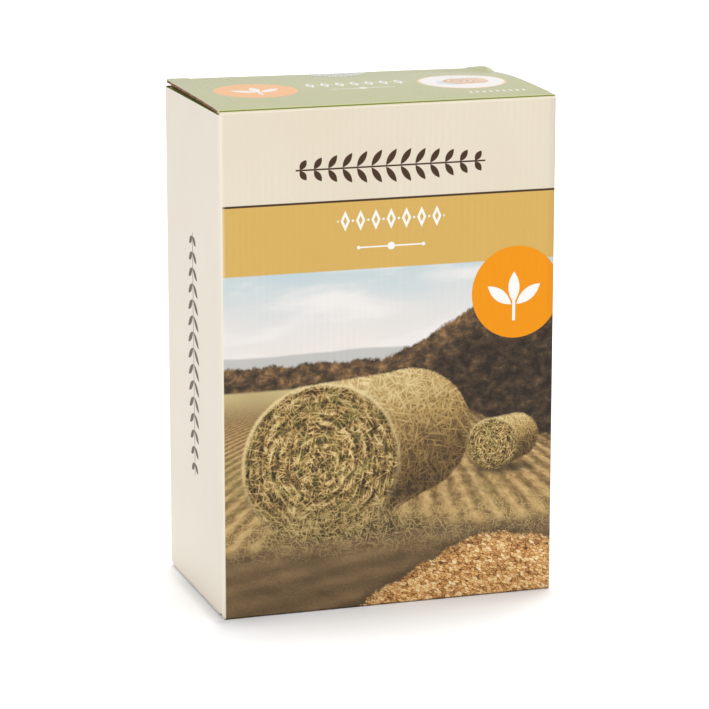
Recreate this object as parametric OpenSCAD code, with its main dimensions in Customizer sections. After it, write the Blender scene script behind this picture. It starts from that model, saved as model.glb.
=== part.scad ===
// Boxed hay feeder: a tuck-top E-flute carton, its flaps folding on
// creases, with the wooden hay rack and its two screw hooks packed inside.
// Millimetres. Origin at the centre of the base, +Z up, the printed front
// panel faces -Y, the lid folds on the top edge of the front panel.

/* [Carton] */
// Outer width of the carton, left to right
carton_w = 176; // [172:1:200]
// Outer depth of the carton, front to back
carton_d = 103; // [102:1:112]
// Height of the front panel up to the lid crease
carton_h = 258; // [252:1:280]
// Thickness of the corrugated board
board = 1.5; // [1.2:0.1:1.5]
// Outer radius of the four upright folds
fold_r = 2; // [1.8:0.1:3]

/* [Top closure] */
// How far the closed lid springs up, degrees
lid_tilt = 1; // [1:0.1:1.8]
// Length of the tuck flap
tuck_len = 18; // [12:1:18]
// Inward lean of the tuck flap on the lid, degrees
tuck_lean = 11; // [9:0.5:12]
// Length of each dust flap
dust_len = 46; // [36:1:46]
// Width of the slit-locked ear at each rear corner of the lid
ear_w = 12.5; // [10:0.5:20]
// Radius of the round clear closure seal
seal_r = 16.5; // [12:0.5:20]

/* [Hay rack] */
// Width over the two side boards
rack_w = 160; // [140:1:160]
// Height of the rack
rack_h = 218; // [190:1:218]
// Depth at the top rim
rack_top_d = 92; // [74:1:92]
// Depth at the foot
rack_foot_d = 32; // [30:1:40]
// Thickness of the boards and rails
wood = 9; // [8:0.5:9]
// Width of the upright bars between the windows
bar_w = 18; // [12:1:24]
// Height of the two middle rails
mid_rail = 18; // [14:1:20]
// Height of the bottom rail
foot_rail = 26; // [20:1:28]

/* [Screw hooks] */
// Wire diameter
wire_d = 2.2; // [1.8:0.1:2.4]
// Centre-line radius of the bend
hook_r = 6.5; // [5:0.5:7]
// Distance of each hook from the middle of the rack
hook_x = 60; // [40:1:60]

/* [Hidden] */
$fn = 48;

hw = carton_w / 2;
hd = carton_d / 2;
side_h = carton_h - 1.8;      // the side and back panels stop one board lower
lid_y = hd - board - 0.5;     // crease between lid and tuck flap
in_r = fold_r - board;
seal_t = 0.12;
seal_x = 3;                   // stuck a little off centre

// rack placing
rack_z = 3 * board + 0.1;
rack_y = hd - 4.5;            // rear face of the rack
rim_z = rack_z + rack_h;
in_w = rack_w / 2 - wood;     // half width between the side boards
slope_run = rack_top_d - rack_foot_d;
slope_len = sqrt(slope_run * slope_run + rack_h * rack_h);
slope_a = atan(slope_run / rack_h);
window_h = (slope_len - foot_rail - 2 * mid_rail - 19) / 3;
// stations up the sloping front: bottom rail, window, rail, window, rail, window, top rail
p1 = foot_rail;
p2 = p1 + window_h;
p3 = p2 + mid_rail;
p4 = p3 + window_h;
p5 = p4 + mid_rail;
p6 = p5 + window_h;
dowel_r = 2.5;
bar_dowel_r = 2;
play = 0.05;

function arc(cx, cy, r, a0, a1, n = 6) =
    [for (i = [0:n]) [cx + r * cos(a0 + (a1 - a0) * i / n), cy + r * sin(a0 + (a1 - a0) * i / n)]];

// Plan of a wall that turns half of a rounded fold at each end.
// ca and cb are the fold centres, a the angle at the start, m the wall's own normal
module wall_plan(ca, cb, a, m, b) {
    polygon(concat(arc(ca[0], ca[1], fold_r, a, m), arc(cb[0], cb[1], fold_r, m, b),
        arc(cb[0], cb[1], in_r, b, m), arc(ca[0], ca[1], in_r, m, a)));
}

// Prism along X from a profile in the YZ plane
module along_x(x0, x1) {
    translate([x0, 0, 0]) rotate([90, 0, 90]) linear_extrude(x1 - x0) children();
}

// Prism along Y from a profile in the XZ plane
module along_y(y0, y1) {
    translate([0, y1, 0]) rotate([90, 0, 0]) linear_extrude(y1 - y0) children();
}

module printed() { color([0.90, 0.86, 0.78]) children(); }
module green() { color([0.66, 0.70, 0.42]) children(); }
module kraft() { color([0.66, 0.50, 0.34]) children(); }
module pine() { color([0.91, 0.78, 0.58]) children(); }
module blue_paint() { color([0.75, 0.85, 0.86]) children(); }
module zinc() { color([0.45, 0.44, 0.42]) children(); }
module clear_film() { color([0.92, 0.93, 0.92, 0.5]) children(); }

// ---- carton walls ----

module front_panel() {
    printed() difference() {
        linear_extrude(carton_h)
            wall_plan([-hw + fold_r, -hd + fold_r], [hw - fold_r, -hd + fold_r], 225, 270, 315);
        along_x(-hw - 1, hw + 1)
            polygon([[-hd - 1, carton_h + 1], [-hd, carton_h], [-hd + 6, carton_h - 6], [-hd + 6, carton_h + 1]]);
        along_x(-hw - 1, hw + 1)
            polygon([[-hd - 1, -1], [-hd, 0], [-hd + 6, 6], [-hd + 6, -1]]);
    }
}

module left_panel() {
    printed() difference() {
        translate([0, 0, board]) linear_extrude(side_h - board)
            wall_plan([-hw + fold_r, hd - fold_r], [-hw + fold_r, -hd + fold_r], 135, 180, 225);
        side_mitres();
    }
}

// The wall on the right ends in a raw edge that laps over the glue flap
module right_panel() {
    printed() mirror([1, 0, 0]) difference() {
        translate([0, 0, board]) linear_extrude(side_h - board)
            polygon(concat([[-hw, hd - 0.2]],
                arc(-hw + fold_r, -hd + fold_r, fold_r, 180, 225),
                arc(-hw + fold_r, -hd + fold_r, in_r, 225, 180),
                [[-hw + board, hd - 0.2]]));
        side_mitres();
    }
}

module side_mitres() {
    along_y(-hd - 1, hd + 1)
        polygon([[-hw - 1, side_h + 1], [-hw, side_h], [-hw + 6, side_h - 6], [-hw + 6, side_h + 1]]);
    along_y(-hd - 1, hd + 1)
        polygon([[-hw - 1, board - 1], [-hw, board], [-hw + 6, board + 6], [-hw + 6, board - 1]]);
}

module back_panel() {
    printed() difference() {
        translate([0, 0, 2 * board]) linear_extrude(side_h - 2 * board)
            wall_plan([hw - board - fold_r, hd - fold_r], [-hw + fold_r, hd - fold_r], 45, 90, 135);
        along_x(-hw - 1, hw + 1)
            polygon([[hd + 1, 2 * board - 1], [hd, 2 * board], [hd - 6, 2 * board + 6], [hd - 6, 2 * board - 1]]);
    }
}

// Turned in from the back panel and glued inside the right wall
module glue_flap() {
    kraft() difference() {
        translate([0, 0, 8]) linear_extrude(side_h - 18)
            polygon(concat(arc(hw - board - fold_r, hd - fold_r, fold_r, 45, 0),
                [[hw - board, hd - 24], [hw - 2 * board, hd - 24]],
                arc(hw - board - fold_r, hd - fold_r, in_r, 0, 45)));
        // ends cut on a slant, so that the free edge is the shorter one
        translate([hw, hd - 24, side_h - 20]) rotate([25, 0, 0]) translate([-10, -10, 0]) cube([20, 60, 40]);
        translate([hw, hd - 24, 18]) rotate([-25, 0, 0]) translate([-10, -10, -40]) cube([20, 60, 40]);
    }
}

// ---- bottom closure, glued ----

module bottom_outer_flap() {
    printed() along_x(-hw + 1, hw - 1)
        polygon([[-hd, 0], [hd - 0.5, 0], [hd - 0.5, board], [-hd + board, board]]);
}

module bottom_side_flap() {
    difference() {
        translate([0, 0, board]) linear_extrude(board)
            polygon([[-hw, -hd + board + 0.3], [-hw + 24, -hd + board + 0.3], [-hw + 62, -hd + 10],
                [-hw + 62, hd - 10], [-hw + 24, hd - board - 0.3], [-hw, hd - board - 0.3]]);
        along_y(-hd - 1, hd + 1)
            polygon([[-hw - 1, board - 1], [-hw, board], [-hw + 6, board + 6], [-hw - 1, board + 6]]);
    }
}

module bottom_side_flap_left() { kraft() bottom_side_flap(); }
module bottom_side_flap_right() { kraft() mirror([1, 0, 0]) bottom_side_flap(); }

module bottom_inner_flap() {
    kraft() intersection() {
        along_x(-hw, hw)
            polygon([[hd, 2 * board], [hd - board, 3 * board], [2, 3 * board], [2, 2 * board]]);
        linear_extrude(10) polygon([[-hw + 3, hd], [-hw + 3, 20], [-hw + 16, 2], [hw - 16, 2],
            [hw - 3 - board, 20], [hw - 3 - board, hd]]);
    }
}

// ---- top closure ----

module on_lid() {
    translate([0, -hd, carton_h]) rotate([lid_tilt, 0, 0]) translate([0, hd, -carton_h]) children();
}

module lid_panel() {
    lw = hw - 0.5;
    green() on_lid() union() {
        along_x(-lw + ear_w, lw - ear_w)
            polygon([[-hd, carton_h], [lid_y, carton_h], [lid_y - board, carton_h - board], [-hd + board, carton_h - board]]);
        for (s = [-1, 1])
            along_x(s < 0 ? -lw : lw - ear_w, s < 0 ? -lw + ear_w : lw)
                polygon([[-hd, carton_h], [hd - 0.3, carton_h], [hd - 0.3, carton_h - board], [-hd + board, carton_h - board]]);
    }
}

module tuck_flap() {
    tw = hw - 3.5;
    fw = hw - 0.8 - ear_w;
    r = 12;
    green() on_lid() translate([0, lid_y, carton_h]) difference() {
        rotate([-tuck_lean, 0, 0]) rotate([90, 0, 0]) linear_extrude(board)
            polygon(concat([[-fw, 0], [-fw, -board - 0.8], [-tw, -board - 0.8]],
                arc(-tw + r, -tuck_len + r, r, 180, 270, 8),
                arc(tw - r, -tuck_len + r, r, 270, 360, 8),
                [[tw, -board - 0.8], [fw, -board - 0.8], [fw, 0]]));
        // mitred against the lid
        rotate([1, 0, 0]) along_x(-hw, hw) polygon([[1, 1], [0, 0], [-6, -6], [-6, 1]]);
    }
}

module dust_flap() {
    difference() {
        translate([0, 0, side_h - board]) linear_extrude(board)
            polygon([[-hw, -hd + board + 0.3], [-hw + dust_len, -hd + 39.5], [-hw + dust_len, hd - 14],
                [-hw + dust_len - 4, hd - 11], [-hw + 16, hd - board - 3.7], [-hw, hd - board - 3.7]]);
        along_y(-hd - 1, hd + 1)
            polygon([[-hw - 1, side_h + 1], [-hw, side_h], [-hw + 6, side_h - 6], [-hw - 1, side_h - 6]]);
    }
}

module dust_flap_left() { green() dust_flap(); }
module dust_flap_right() { green() mirror([1, 0, 0]) dust_flap(); }

// The round clear seal is slit along the edge: one part stays on the lid, one on the back
module seal_upper_half() {
    clear_film() on_lid() intersection() {
        translate([seal_x, lid_y + 2, carton_h]) cylinder(r = seal_r, h = seal_t, $fn = 96);
        translate([-40, lid_y - 40, carton_h - 1]) cube([80, 40, 3]);
    }
}

module seal_lower_half() {
    clear_film() intersection() {
        translate([seal_x, hd + seal_t, side_h]) rotate([90, 0, 0]) cylinder(r = seal_r, h = seal_t, $fn = 96);
        translate([-40, hd - 1, side_h - 40]) cube([80, 3, 40]);
    }
}

// ---- hay rack ----

// Places children drawn along the sloping front: X across, Y inwards, Z up the slope
module on_slope() {
    translate([0, rack_y - rack_foot_d, rack_z]) rotate([slope_a, 0, 0]) children();
}

// One long dowel through each end of a rail or board, at a point of the YZ plane
module end_dowels(r, ends = [-1, 1], grow = 0) {
    for (s = ends)
        translate([s * (in_w - 18 - grow), 0, 0]) rotate([0, s * 90, 0]) cylinder(r = r, h = 24 + 2 * grow);
}

module at_rail_dowels() {
    on_slope() {
        translate([0, wood / 2, 13]) children();
        translate([0, wood / 2, (p2 + p3) / 2]) children();
        translate([0, wood / 2, (p4 + p5) / 2]) children();
        translate([0, wood / 2, (p6 + slope_len) / 2]) children();
    }
}

module at_board_dowels() {
    for (z = [20, rack_h / 2, rack_h - 30])
        translate([0, rack_y - wood / 2, rack_z + z]) children();
    translate([0, rack_y - wood - 7.5, rack_z + wood / 2]) children();
}

module at_bar_dowels() {
    on_slope() for (p = [p1, p2, p3, p4, p5, p6])
        translate([0, wood / 2, p]) children();
}

module rack_side(s) {
    blue_paint() difference() {
        along_x(s < 0 ? -rack_w / 2 : in_w, s < 0 ? -in_w : rack_w / 2)
            polygon([[rack_y, rack_z], [rack_y, rim_z], [rack_y - rack_top_d, rim_z], [rack_y - rack_foot_d, rack_z]]);
        at_rail_dowels() end_dowels(dowel_r + play, [s], 0.3);
        at_board_dowels() end_dowels(dowel_r + play, [s], 0.3);
    }
}

module rack_side_left() { rack_side(-1); }
module rack_side_right() { rack_side(1); }

module rack_back_board() {
    pine() difference() {
        translate([-in_w, rack_y - wood, rack_z]) cube([2 * in_w, wood, rack_h]);
        at_board_dowels() end_dowels(dowel_r + play, [-1, 1], 0.3);
        for (s = [-1, 1])
            translate([s * hook_x, rack_y - wood / 2, rim_z - 15]) cylinder(d = wire_d + 0.12, h = 20);
    }
}

module rack_bottom_board() {
    // runs from the inner face of the bottom rail to the back board
    y0 = rack_y - rack_foot_d + wood / cos(slope_a);
    pine() difference() {
        along_x(-in_w, in_w)
            polygon([[y0, rack_z], [rack_y - wood, rack_z], [rack_y - wood, rack_z + wood], [y0 - wood * tan(slope_a), rack_z + wood]]);
        at_board_dowels() end_dowels(dowel_r + play, [-1, 1], 0.3);
    }
}

module rail(a, b) {
    difference() {
        intersection() {
            on_slope() translate([-in_w, 0, a]) cube([2 * in_w, wood, b - a]);
            translate([-in_w - 1, -hd, rack_z]) cube([2 * in_w + 2, 2 * hd, rack_h]);
        }
        at_rail_dowels() end_dowels(dowel_r + play, [-1, 1], 0.3);
        at_bar_dowels() translate([0, 0, -7.3]) cylinder(r = bar_dowel_r + play, h = 14.6);
    }
}

module rack_bottom_rail() { pine() rail(-6, p1); }
module rack_lower_mid_rail() { pine() rail(p2, p3); }
module rack_upper_mid_rail() { pine() rail(p4, p5); }
module rack_top_rail() { pine() rail(p6, slope_len + 6); }

module bar(a, b) {
    difference() {
        on_slope() translate([-bar_w / 2, 0, a]) cube([bar_w, wood, b - a]);
        at_bar_dowels() translate([0, 0, -7.3]) cylinder(r = bar_dowel_r + play, h = 14.6);
    }
}

module rack_lower_bar() { pine() bar(p1, p2); }
module rack_middle_bar() { pine() bar(p3, p4); }
module rack_upper_bar() { pine() bar(p5, p6); }

module rack_rail_dowels() {
    pine() {
        at_rail_dowels() end_dowels(dowel_r);
        at_board_dowels() end_dowels(dowel_r);
    }
}

module rack_bar_dowels() {
    pine() at_bar_dowels() translate([0, 0, -7]) cylinder(r = bar_dowel_r, h = 14);
}

// ---- screw hooks ----

// Shank in the top edge of the back board, collar on it, and an open bend above
module hook() {
    stem = 13;
    zinc() translate([hook_x, rack_y - wood / 2, rim_z]) {
        translate([0, 0, -14]) cylinder(d = wire_d, h = 14 + stem);
        translate([0, 0, 0.1]) cylinder(r = 3, h = 0.9);
        translate([-hook_r, 0, stem]) rotate([90, 0, 0])
            rotate_extrude(angle = 220) translate([hook_r, 0]) circle(d = wire_d);
    }
}

module hook_left() { mirror([1, 0, 0]) hook(); }
module hook_right() { hook(); }

front_panel();
back_panel();
left_panel();
right_panel();
glue_flap();
bottom_outer_flap();
bottom_inner_flap();
bottom_side_flap_left();
bottom_side_flap_right();
seal_lower_half();
lid_panel();
seal_upper_half();
tuck_flap();
dust_flap_left();
dust_flap_right();
rack_side_left();
rack_side_right();
rack_back_board();
rack_bottom_board();
rack_top_rail();
rack_upper_mid_rail();
rack_lower_mid_rail();
rack_bottom_rail();
rack_upper_bar();
rack_middle_bar();
rack_lower_bar();
rack_rail_dowels();
rack_bar_dowels();
hook_left();
hook_right();
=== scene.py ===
import math

import bmesh
import bpy
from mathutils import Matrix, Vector
from mathutils.geometry import delaunay_2d_cdt


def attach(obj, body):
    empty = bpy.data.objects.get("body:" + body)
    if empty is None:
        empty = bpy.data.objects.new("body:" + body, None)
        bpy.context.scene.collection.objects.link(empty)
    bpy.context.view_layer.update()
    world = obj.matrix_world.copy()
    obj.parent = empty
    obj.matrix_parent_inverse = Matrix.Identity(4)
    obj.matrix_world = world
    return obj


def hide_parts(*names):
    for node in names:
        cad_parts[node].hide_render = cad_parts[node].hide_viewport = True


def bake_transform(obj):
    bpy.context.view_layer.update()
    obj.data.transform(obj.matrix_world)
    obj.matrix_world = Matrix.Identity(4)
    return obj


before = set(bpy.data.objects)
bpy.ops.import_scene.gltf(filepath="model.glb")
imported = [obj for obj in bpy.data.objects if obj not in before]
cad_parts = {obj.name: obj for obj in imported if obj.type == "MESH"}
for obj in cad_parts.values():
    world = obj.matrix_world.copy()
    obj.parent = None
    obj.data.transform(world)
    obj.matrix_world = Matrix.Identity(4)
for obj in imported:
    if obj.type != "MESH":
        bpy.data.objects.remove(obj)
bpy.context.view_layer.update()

# All shapes below are worked out in millimetres and stored in metres.
MM = 0.001
HW, HD = 88.0, 51.5          # half width and half depth of the carton
TOP = 258.0                  # the lid crease
SIDE_TOP = 256.2             # top of the side and back walls
BOARD = 1.5
R = 2.0                      # upright folds
YC = HD - R                  # their centres
DEPTH = 2 * HD
LB = DEPTH - 2.0             # from the lid crease to the tuck crease
CR = 1.1                     # creases of the flaps
TILT = math.radians(1.0)
INK = 0.757                  # colours are given as they look under the studio light
PITCH = 3.4                  # flute pitch


def rgb(r, g, b):
    """sRGB bytes as a linear colour."""
    f = lambda c: c / 12.92 if c <= 0.04045 else ((c + 0.055) / 1.055) ** 2.4
    return (f(r / 255) * INK, f(g / 255) * INK, f(b / 255) * INK, 1.0)


def clamp(x, lo=0.0, hi=1.0):
    return lo if x < lo else hi if x > hi else x


def sstep(lo, hi, x):
    t = clamp((x - lo) / (hi - lo))
    return t * t * (3 - 2 * t)


# ---------------------------------------------------------------- shader expressions

class V:
    """A value in a material's node graph, with arithmetic."""

    def __init__(self, g, s):
        self.g, self.s = g, s

    def __add__(self, o): return self.g.m("ADD", self, o)
    def __radd__(self, o): return self.g.m("ADD", o, self)
    def __sub__(self, o): return self.g.m("SUBTRACT", self, o)
    def __rsub__(self, o): return self.g.m("SUBTRACT", o, self)
    def __mul__(self, o): return self.g.m("MULTIPLY", self, o)
    def __rmul__(self, o): return self.g.m("MULTIPLY", o, self)
    def __truediv__(self, o): return self.g.m("DIVIDE", self, o)
    def __rtruediv__(self, o): return self.g.m("DIVIDE", o, self)
    def __neg__(self): return self.g.m("MULTIPLY", self, -1.0)


class Graph:
    def __init__(self, name):
        self.mat = bpy.data.materials.new(name)
        self.mat.use_nodes = True
        self.nodes = self.mat.node_tree.nodes
        self.links = self.mat.node_tree.links
        self.bsdf = self.nodes["Principled BSDF"]

    def put(self, socket, value):
        if isinstance(value, V):
            self.links.new(value.s, socket)
        else:
            socket.default_value = value

    def m(self, op, a, b=None, c=None, clamp=False):
        n = self.nodes.new("ShaderNodeMath")
        n.operation = op
        n.use_clamp = clamp
        for i, v in enumerate((a, b, c)):
            if v is not None:
                self.put(n.inputs[i], v)
        return V(self, n.outputs[0])

    def mx(self, a, b): return self.m("MAXIMUM", a, b)
    def mn(self, a, b): return self.m("MINIMUM", a, b)
    def ab(self, a): return self.m("ABSOLUTE", a)
    def sin(self, a): return self.m("SINE", a)
    def floor(self, a): return self.m("FLOOR", a)
    def sqrt(self, a): return self.m("SQRT", a)

    def hyp(self, a, b):
        return self.sqrt(self.m("MULTIPLY_ADD", a, a, b * b))

    def edge(self, d, soft=0.18):
        """1 where d is positive, 0 where it is negative, with a soft ink edge."""
        return self.m("MULTIPLY_ADD", d, 1.0 / soft, 0.5, clamp=True)

    def smooth(self, lo, hi, x):
        n = self.nodes.new("ShaderNodeMapRange")
        n.interpolation_type = "SMOOTHSTEP"
        self.put(n.inputs[0], x)
        n.inputs[1].default_value, n.inputs[2].default_value = lo, hi
        return V(self, n.outputs[0])

    def coords(self):
        n = self.nodes.new("ShaderNodeAttribute")
        n.attribute_name = "rp"
        p = self.nodes.new("ShaderNodeSeparateXYZ")
        self.links.new(n.outputs["Vector"], p.inputs[0])
        return [V(self, o) for o in p.outputs]

    def object_coords(self):
        n = self.nodes.new("ShaderNodeTexCoord")
        p = self.nodes.new("ShaderNodeSeparateXYZ")
        self.links.new(n.outputs["Object"], p.inputs[0])
        return [V(self, o) * 1000.0 for o in p.outputs]

    def vec(self, x, y, z=0.0):
        n = self.nodes.new("ShaderNodeCombineXYZ")
        for i, v in enumerate((x, y, z)):
            self.put(n.inputs[i], v)
        return V(self, n.outputs[0])

    def noise(self, v, scale=1.0, detail=2.0, rough=0.5, distortion=0.0):
        n = self.nodes.new("ShaderNodeTexNoise")
        self.put(n.inputs["Vector"], v)
        n.inputs["Scale"].default_value = scale
        n.inputs["Detail"].default_value = detail
        n.inputs["Roughness"].default_value = rough
        n.inputs["Distortion"].default_value = distortion
        return V(self, n.outputs[0])

    def cells(self, v, scale=1.0, randomness=1.0, feature="F1", out="Color"):
        n = self.nodes.new("ShaderNodeTexVoronoi")
        n.feature = feature
        self.put(n.inputs["Vector"], v)
        n.inputs["Scale"].default_value = scale
        n.inputs["Randomness"].default_value = randomness
        return V(self, n.outputs[out])

    def mix(self, t, a, b, blend="MIX"):
        n = self.nodes.new("ShaderNodeMix")
        n.data_type = "RGBA"
        n.blend_type = blend
        self.put(n.inputs[0], t)
        self.put(n.inputs[6], a)
        self.put(n.inputs[7], b)
        return V(self, n.outputs[2])

    def ramp(self, t, *stops):
        n = self.nodes.new("ShaderNodeValToRGB")
        self.put(n.inputs[0], t)
        els = n.color_ramp.elements
        els[0].position, els[0].color = stops[0]
        els[1].position, els[1].color = stops[-1]
        for p, c in stops[1:-1]:
            els.new(p).color = c
        return V(self, n.outputs[0])

    def dim(self, colour, k):
        """The colour times k."""
        n = self.nodes.new("ShaderNodeVectorMath")
        n.operation = "SCALE"
        self.put(n.inputs[0], colour if isinstance(colour, V) else colour[:3])
        self.put(n.inputs["Scale"], k)
        return V(self, n.outputs[0])

    def bump(self, height, distance, strength=1.0):
        n = self.nodes.new("ShaderNodeBump")
        n.inputs["Strength"].default_value = strength
        n.inputs["Distance"].default_value = distance
        self.put(n.inputs["Height"], height)
        self.links.new(n.outputs[0], self.bsdf.inputs["Normal"])

    def out(self, colour, rough, specular=None, coat=None, coat_rough=None):
        self.put(self.bsdf.inputs["Base Color"], colour)
        self.put(self.bsdf.inputs["Roughness"], rough)
        if specular is not None:
            self.bsdf.inputs["Specular IOR Level"].default_value = specular
        if coat is not None:
            self.bsdf.inputs["Coat Weight"].default_value = coat
            self.bsdf.inputs["Coat Roughness"].default_value = coat_rough
        return self.mat


# ---------------------------------------------------------------- ornaments of the print

def disc(g, x, y, cx, cy, r, soft=0.2):
    return g.edge(r - g.hyp(x - cx, y - cy), soft)


def rect(g, x, y, x0, y0, x1, y1, soft=0.2):
    return g.edge(g.mn(g.mn(x - x0, x1 - x), g.mn(y - y0, y1 - y)), soft)


def turn(x, y, deg):
    c, s = math.cos(math.radians(deg)), math.sin(math.radians(deg))
    return x * c + y * s, y * c - x * s


def leaf(g, u, v, half_len, half_w, soft=0.2):
    """A pointed leaf along u."""
    k = u / half_len
    return g.edge(half_w * (1.0 - k * k) - g.ab(v), soft)


def sprig(g, s, t, length, half_h, n, soft=0.2):
    """A stalk along s with n pairs of leaves, smaller towards its ends."""
    p = length / n
    i = g.floor(s / p)
    q = s - (i + 0.5) * p
    size = g.sin((i + 0.5) * (math.pi / n)) * 0.45 + 0.55
    mid = size * (half_h * 0.52)
    u, v = turn(q, g.ab(t) - mid, 55)
    k = u / (size * (half_h * 0.58))
    lf = g.edge((1.0 - k * k) * (p * 0.21) - g.ab(v), soft)
    stalk = g.edge(0.42 - g.ab(t), soft)
    inside = g.mn(g.edge(s, soft), g.edge(length - s, soft))
    return g.mn(g.mx(lf, stalk), inside)


def lozenges(g, s, t, length, half_h, n, soft=0.2):
    """A row of lozenges with a dot between each two."""
    p = length / n
    i = g.floor(s / p)
    q = g.ab(s - (i + 0.5) * p)
    loz = g.edge(1.0 - q / (p * 0.30) - g.ab(t) / half_h, soft * 0.35)
    hollow = g.edge(q / (p * 0.13) + g.ab(t) / (half_h * 0.45) - 1.0, soft * 0.5)
    dot = g.edge(p * 0.075 - g.hyp(q - p * 0.5, t), soft)
    inside = g.mn(g.edge(s, soft), g.edge(length - s, soft))
    return g.mn(g.mx(g.mn(loz, hollow), dot), inside)


def trefoil(g, x, y, cx, cy, r, soft=0.2):
    """Three leaves on a short stalk, inside a circle of radius r."""
    x, y = x - cx, y - (cy + 0.42 * r)
    m = g.mn(g.edge(0.045 * r - g.ab(x), soft), rect(g, x, y, -r, -0.2 * r, r, 0.42 * r, soft))
    for deg in (-90, -142, -38):
        u, v = turn(x, y, deg)
        m = g.mx(m, leaf(g, u - 0.56 * r, v, 0.46 * r, 0.17 * r, soft))
    return m


# ---------------------------------------------------------------- board materials

CREAM = rgb(233, 222, 202)
CREAM_SIDE = rgb(228, 219, 204)
BROWN = rgb(72, 50, 32)
OCHRE = rgb(218, 178, 97)
ORANGE = rgb(244, 152, 0)
GREEN = rgb(146, 147, 76)
CREASE_GREEN = rgb(122, 128, 30)
WHITE = rgb(252, 250, 244)
# the lid is seen through the haze of its gloss, so its inks are stronger
LID_GREEN = rgb(141, 140, 71)
LID_ORANGE = rgb(205, 133, 0)
LID_WHITE = rgb(205, 200, 196)


def board_finish(g, colour, across, along, depth=1.0, gloss=0.42, seed=0.0, specular=0.16):
    """Coated paper over flutes: faint stripes that wander, fine fibres, soft mottling."""
    wander = g.noise(g.vec(across * 0.02, along * 0.006, seed), 1.0, 2.0)
    stripe = g.sin(across * (2 * math.pi / PITCH) + wander * 9.0)
    patch = g.noise(g.vec(across * 0.035, along * 0.02, seed + 4.0), 1.0, 3.0)
    fibre = g.noise(g.vec(across * 1.6, along * 0.7, seed + 9.0), 1.0, 3.0, 0.6)
    amount = g.smooth(0.30, 0.75, patch)
    k = stripe * (amount * (0.014 * depth)) + (patch * 0.05 + fibre * 0.03 + 0.958)
    g.bump(stripe * (amount * 0.5 + 0.25) + fibre * 0.35, 0.00003 * depth)
    return g.out(g.dim(colour, k), fibre * 0.10 + (gloss - 0.04), specular=specular)


def cream_base(g, x, z, colour):
    warm = g.noise(g.vec(x * 0.012, z * 0.012, 2.0), 1.0, 2.0)
    return g.mix(g.smooth(0.25, 0.8, warm), colour, tuple(c * k for c, k in zip(colour, (0.975, 0.965, 0.94, 1))))


def straw(g, x, y, seed, size=1.0):
    """Crossing stalks, 0 in the gaps to 1 on the uppermost ones."""
    top = None
    for k, deg in enumerate((12, 58, 101, 149)):
        u, v = turn(x, y, deg)
        n = g.noise(g.vec(u * (0.11 / size), v * (0.85 / size), seed + 7.0 * k), 1.0, 2.0, 0.55, 0.25)
        n = g.smooth(0.46, 0.68, n)
        top = n if top is None else g.mx(top, n)
    return top


def chips(g, x, y, seed, size=1.0):
    """Loose chaff: small flat pieces, each in its own tone, with dark gaps between them."""
    u, v = turn(x, y, 24)
    p = g.vec(u * (0.42 / size), v * (0.85 / size), seed)
    tone = g.cells(p, 1.0, 1.0)
    gap = g.smooth(0.02, 0.14, g.cells(p, 1.0, 1.0, "DISTANCE_TO_EDGE", "Distance"))
    fine = g.noise(g.vec(u * 0.9, v * 2.2, seed + 2.0), 1.0, 3.0, 0.7)
    return tone * 0.62 + fine * 0.38 - (gap * -0.30 + 0.30)


def picture(g, x, y):
    """The landscape printed on the front: pale sky, woodland and mown meadow.
    x from the left fold, y down from the lid crease."""
    n_big = g.noise(g.vec(x * 0.02, y * 0.035, 1.0), 1.0, 3.0)
    # sky
    c = g.mix(g.smooth(80, 138, y + n_big * 26.0), rgb(190, 211, 216), rgb(238, 231, 226))
    cloud = g.smooth(0.46, 0.70, g.noise(g.vec(x * 0.016 + y * 0.01, y * 0.055, 5.0), 1.0, 5.0, 0.55, 0.4))
    c = g.mix(cloud * 0.85, c, rgb(245, 240, 236))
    # far hills, then woodland that comes forward on the right
    hill = 126.0 - 5.0 * g.noise(g.vec(x * 0.02, 0.0, 13.0), 1.0, 2.0)
    c = g.mix(g.edge(y - hill, 1.2) * 0.8, c, rgb(186, 186, 182))
    wood = g.smooth(78, 150, x)
    top = 136.0 - wood * 27.0 - 9.0 * g.noise(g.vec(x * 0.05, 0.0, 3.0), 1.0, 4.0, 0.6) - 5.0 * g.noise(g.vec(x * 0.4, y * 0.2, 8.0), 1.0, 3.0, 0.65)
    crowns = g.noise(g.vec(x * 0.16, y * 0.20, 6.0), 1.0, 5.0, 0.68, 0.3)
    lit = g.smooth(0.0, 26.0, y - top) * -0.16 + crowns
    trees = g.ramp(lit, (0.26, rgb(48, 38, 30)), (0.42, rgb(80, 64, 48)), (0.54, rgb(116, 90, 62)), (0.70, rgb(176, 134, 88)))
    c = g.mix(g.edge(y - top, 1.4), c, trees)
    # meadow: cut rows run to the skyline, hay left lying on it
    depth = (y - 139.0) / 119.0
    near = g.mx(depth, 0.02)
    persp = 1.0 / (near * 2.6 + 0.16)
    fx, fy = (x - 96.0) * persp * 0.42, 6.0 / (near + 0.10)
    f1 = g.noise(g.vec(fx, fy * 2.4, 1.0), 1.0, 4.0, 0.65)
    rows = (g.sin((fx + n_big * 1.2) * 2.2) * 0.5 + 0.5) * g.smooth(-0.02, 0.30, depth)
    fc = g.ramp(f1 * 0.74 + rows * 0.20, (0.24, rgb(104, 78, 50)), (0.42, rgb(152, 122, 78)), (0.58, rgb(200, 166, 110)), (0.80, rgb(232, 206, 154)))
    fc = g.mix(g.smooth(0.0, 0.16, depth) * -1.0 + 1.0, fc, rgb(206, 186, 134))
    fc = g.mix(g.smooth(0.45, 0.7, n_big) * 0.28, fc, rgb(146, 138, 82))
    foot = 140.5 + 1.5 * n_big + g.smooth(82.0, 178.0, x) * 34.0 + (crowns - 0.5) * wood * 9.0
    fc = g.dim(fc, 1.0 - g.smooth(9.0, 0.0, y - foot) * wood * 0.45)
    c = g.mix(g.edge(y - foot, 1.2), c, fc)
    return c, n_big


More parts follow.
